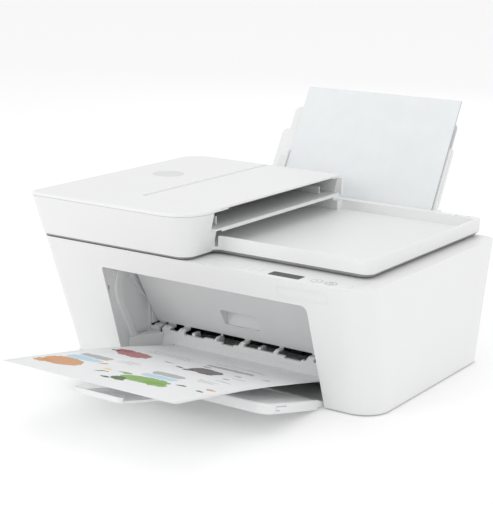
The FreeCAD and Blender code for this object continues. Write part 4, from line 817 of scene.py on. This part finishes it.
# %% Bay corners
guide_low, guide_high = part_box("exit_guide")
_, door_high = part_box("cartridge_door")
CORNER_DEEP, CORNER_WIDE, CORNER_TOP = 41 * MM, 19 * MM, 26.4 * MM
CORNER_RIGHT_WIDE = 6 * MM
wall_back = guide_low.y - 0.1 * MM
for side, wall_x, wide in (("left", guide_low.x, CORNER_WIDE), ("right", guide_high.x, -CORNER_RIGHT_WIDE)):
    corner = bmesh.new()
    verts = bmesh.ops.create_cube(corner, size=1.0)["verts"]
    bmesh.ops.scale(corner, verts=verts, vec=(abs(wide), CORNER_DEEP, CORNER_TOP - 4 * MM))
    middle = Vector((wall_x + wide / 2, wall_back - CORNER_DEEP / 2, CORNER_TOP / 2 + 2 * MM))
    bmesh.ops.translate(corner, verts=verts, vec=middle)
    front_inner = [v for v in verts if v.co.y < middle.y and (v.co.x - middle.x) * wide > 0]
    bmesh.ops.translate(corner, verts=front_inner, vec=(-wide * 0.97, 0, 0))
    rounded = [
        e for e in corner.edges
        if all(v.co.y > middle.y for v in e.verts) or all(v.co.z > middle.z for v in e.verts)
    ]
    bmesh.ops.bevel(
        corner, geom=rounded, offset=0.3 * MM, segments=2, profile=0.5, affect="EDGES", material=-1
    )
    finish_piece("bay_corner_" + side, corner, "bay_grey", "base")

# The skin stands a little proud of the dark frame behind it. A low plate closes the gap under the exit wall.
SKIN_THICK, SKIN_DEEP = 1.75 * MM, 11 * MM
skin = bmesh.new()
verts = bmesh.ops.create_cube(skin, size=1.0)["verts"]
skin_foot, skin_head = guide_high.z - 7 * MM, door_high.z - 2 * MM
bmesh.ops.scale(skin, verts=verts, vec=(SKIN_THICK, SKIN_DEEP, skin_head - skin_foot))
frame_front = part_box("side_frames")[0].y - 0.4 * MM
skin_x = guide_low.x + SKIN_THICK / 2 - 0.2 * MM
skin_middle = Vector((skin_x, frame_front + SKIN_DEEP / 2, (skin_foot + skin_head) / 2))
bmesh.ops.translate(skin, verts=verts, vec=skin_middle)
sill_left = (guide_low.x + CORNER_WIDE - 2 * MM, page_low.x - 1.5 * MM)
sill_right = (page_high.x + 1.5 * MM, guide_high.x - CORNER_RIGHT_WIDE + 2 * MM)
for low_x, high_x in (sill_left, sill_right):
    verts = bmesh.ops.create_cube(skin, size=1.0)["verts"]
    bmesh.ops.scale(skin, verts=verts, vec=(high_x - low_x, 0.5 * MM, 11 * MM))
    bmesh.ops.translate(skin, verts=verts, vec=((low_x + high_x) / 2, wall_back - 0.4 * MM, 9.5 * MM))
finish_piece("bay_side_skin", skin, "bay_grey", "base")
print("corner wedges", 2)

# %% [markdown]
# ## Disc on the feeder's cover
# A plain round disc sits in a shallow recess at the left of the cover. Its rim is bevelled so that it catches
# the light.

# %% Cover disc
DISC_CENTRE = Vector((-155.5, 70.42, 200.22)) * MM
DISC_SIZE, DISC_RISE = 38.4 * MM, 0.24 * MM
disc = bmesh.new()
plate(disc, 96, DISC_CENTRE, DISC_SIZE, DISC_SIZE, DISC_RISE)
plastic("disc_grey", (0.74, 0.745, 0.75), 0.36, grain_scale=1400, dusty=0.03, drift=0.02)
rim = [e for e in disc.edges if all(abs(v.co.z - DISC_CENTRE.z - DISC_RISE) < 1e-6 for v in e.verts)]
bmesh.ops.bevel(disc, geom=rim, offset=0.12 * MM, segments=2, profile=0.5, affect="EDGES", material=-1)
finish_piece("cover_disc", disc, "disc_grey", "feeder_cover")
print("disc in mm", round(DISC_SIZE / MM, 1))

# %% [markdown]
# ## Light bar of the scanner
# The scan head carries a clear bar that spreads the lamp's light along one line, and a dark slot with a row of
# lenses beside it. Both lie just under the glass and move with the head.

# %% Scanner light bar
head_low, head_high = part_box("scan_head")
BAR_SINK = 0.05 * MM
bar_length = head_high.y - head_low.y - 12 * MM
bar_middle = (head_low + head_high) / 2
bar_middle.z = head_high.z - BAR_SINK
guide = bmesh.new()
plate(guide, 4, bar_middle + Vector((-3 * MM, 0, 0)), 4 * MM, bar_length, 0.6 * MM)
tree, shader = new_material("light_guide")
look = use_group(tree, "mould_grain", Grain_Scale=700.0, Patch_Scale=18.0)
plug(tree, shader["Base Color"], mix(tree, look["Tone"], (0.7, 0.74, 0.72, 1), (0.8, 0.84, 0.82, 1)))
plug(tree, shader["Roughness"], spread(tree, look["Polish"], 0.12, 0.25))
shader["Coat Weight"].default_value = 0.4
finish_piece("light_guide", guide, "light_guide", "scan_head")
lenses = bmesh.new()
LENS_PITCH = 3.0 * MM
for step in range(int(bar_length / LENS_PITCH)):
    place = bar_middle + Vector((4 * MM, -bar_length / 2 + (step + 0.5) * LENS_PITCH, 0))
    plate(lenses, 12, place, 2.4 * MM, 2.4 * MM, 0.3 * MM)
finish_piece("lens_row", lenses, "cartridge_black", "scan_head")
print("light bar in mm", round(bar_length / MM))
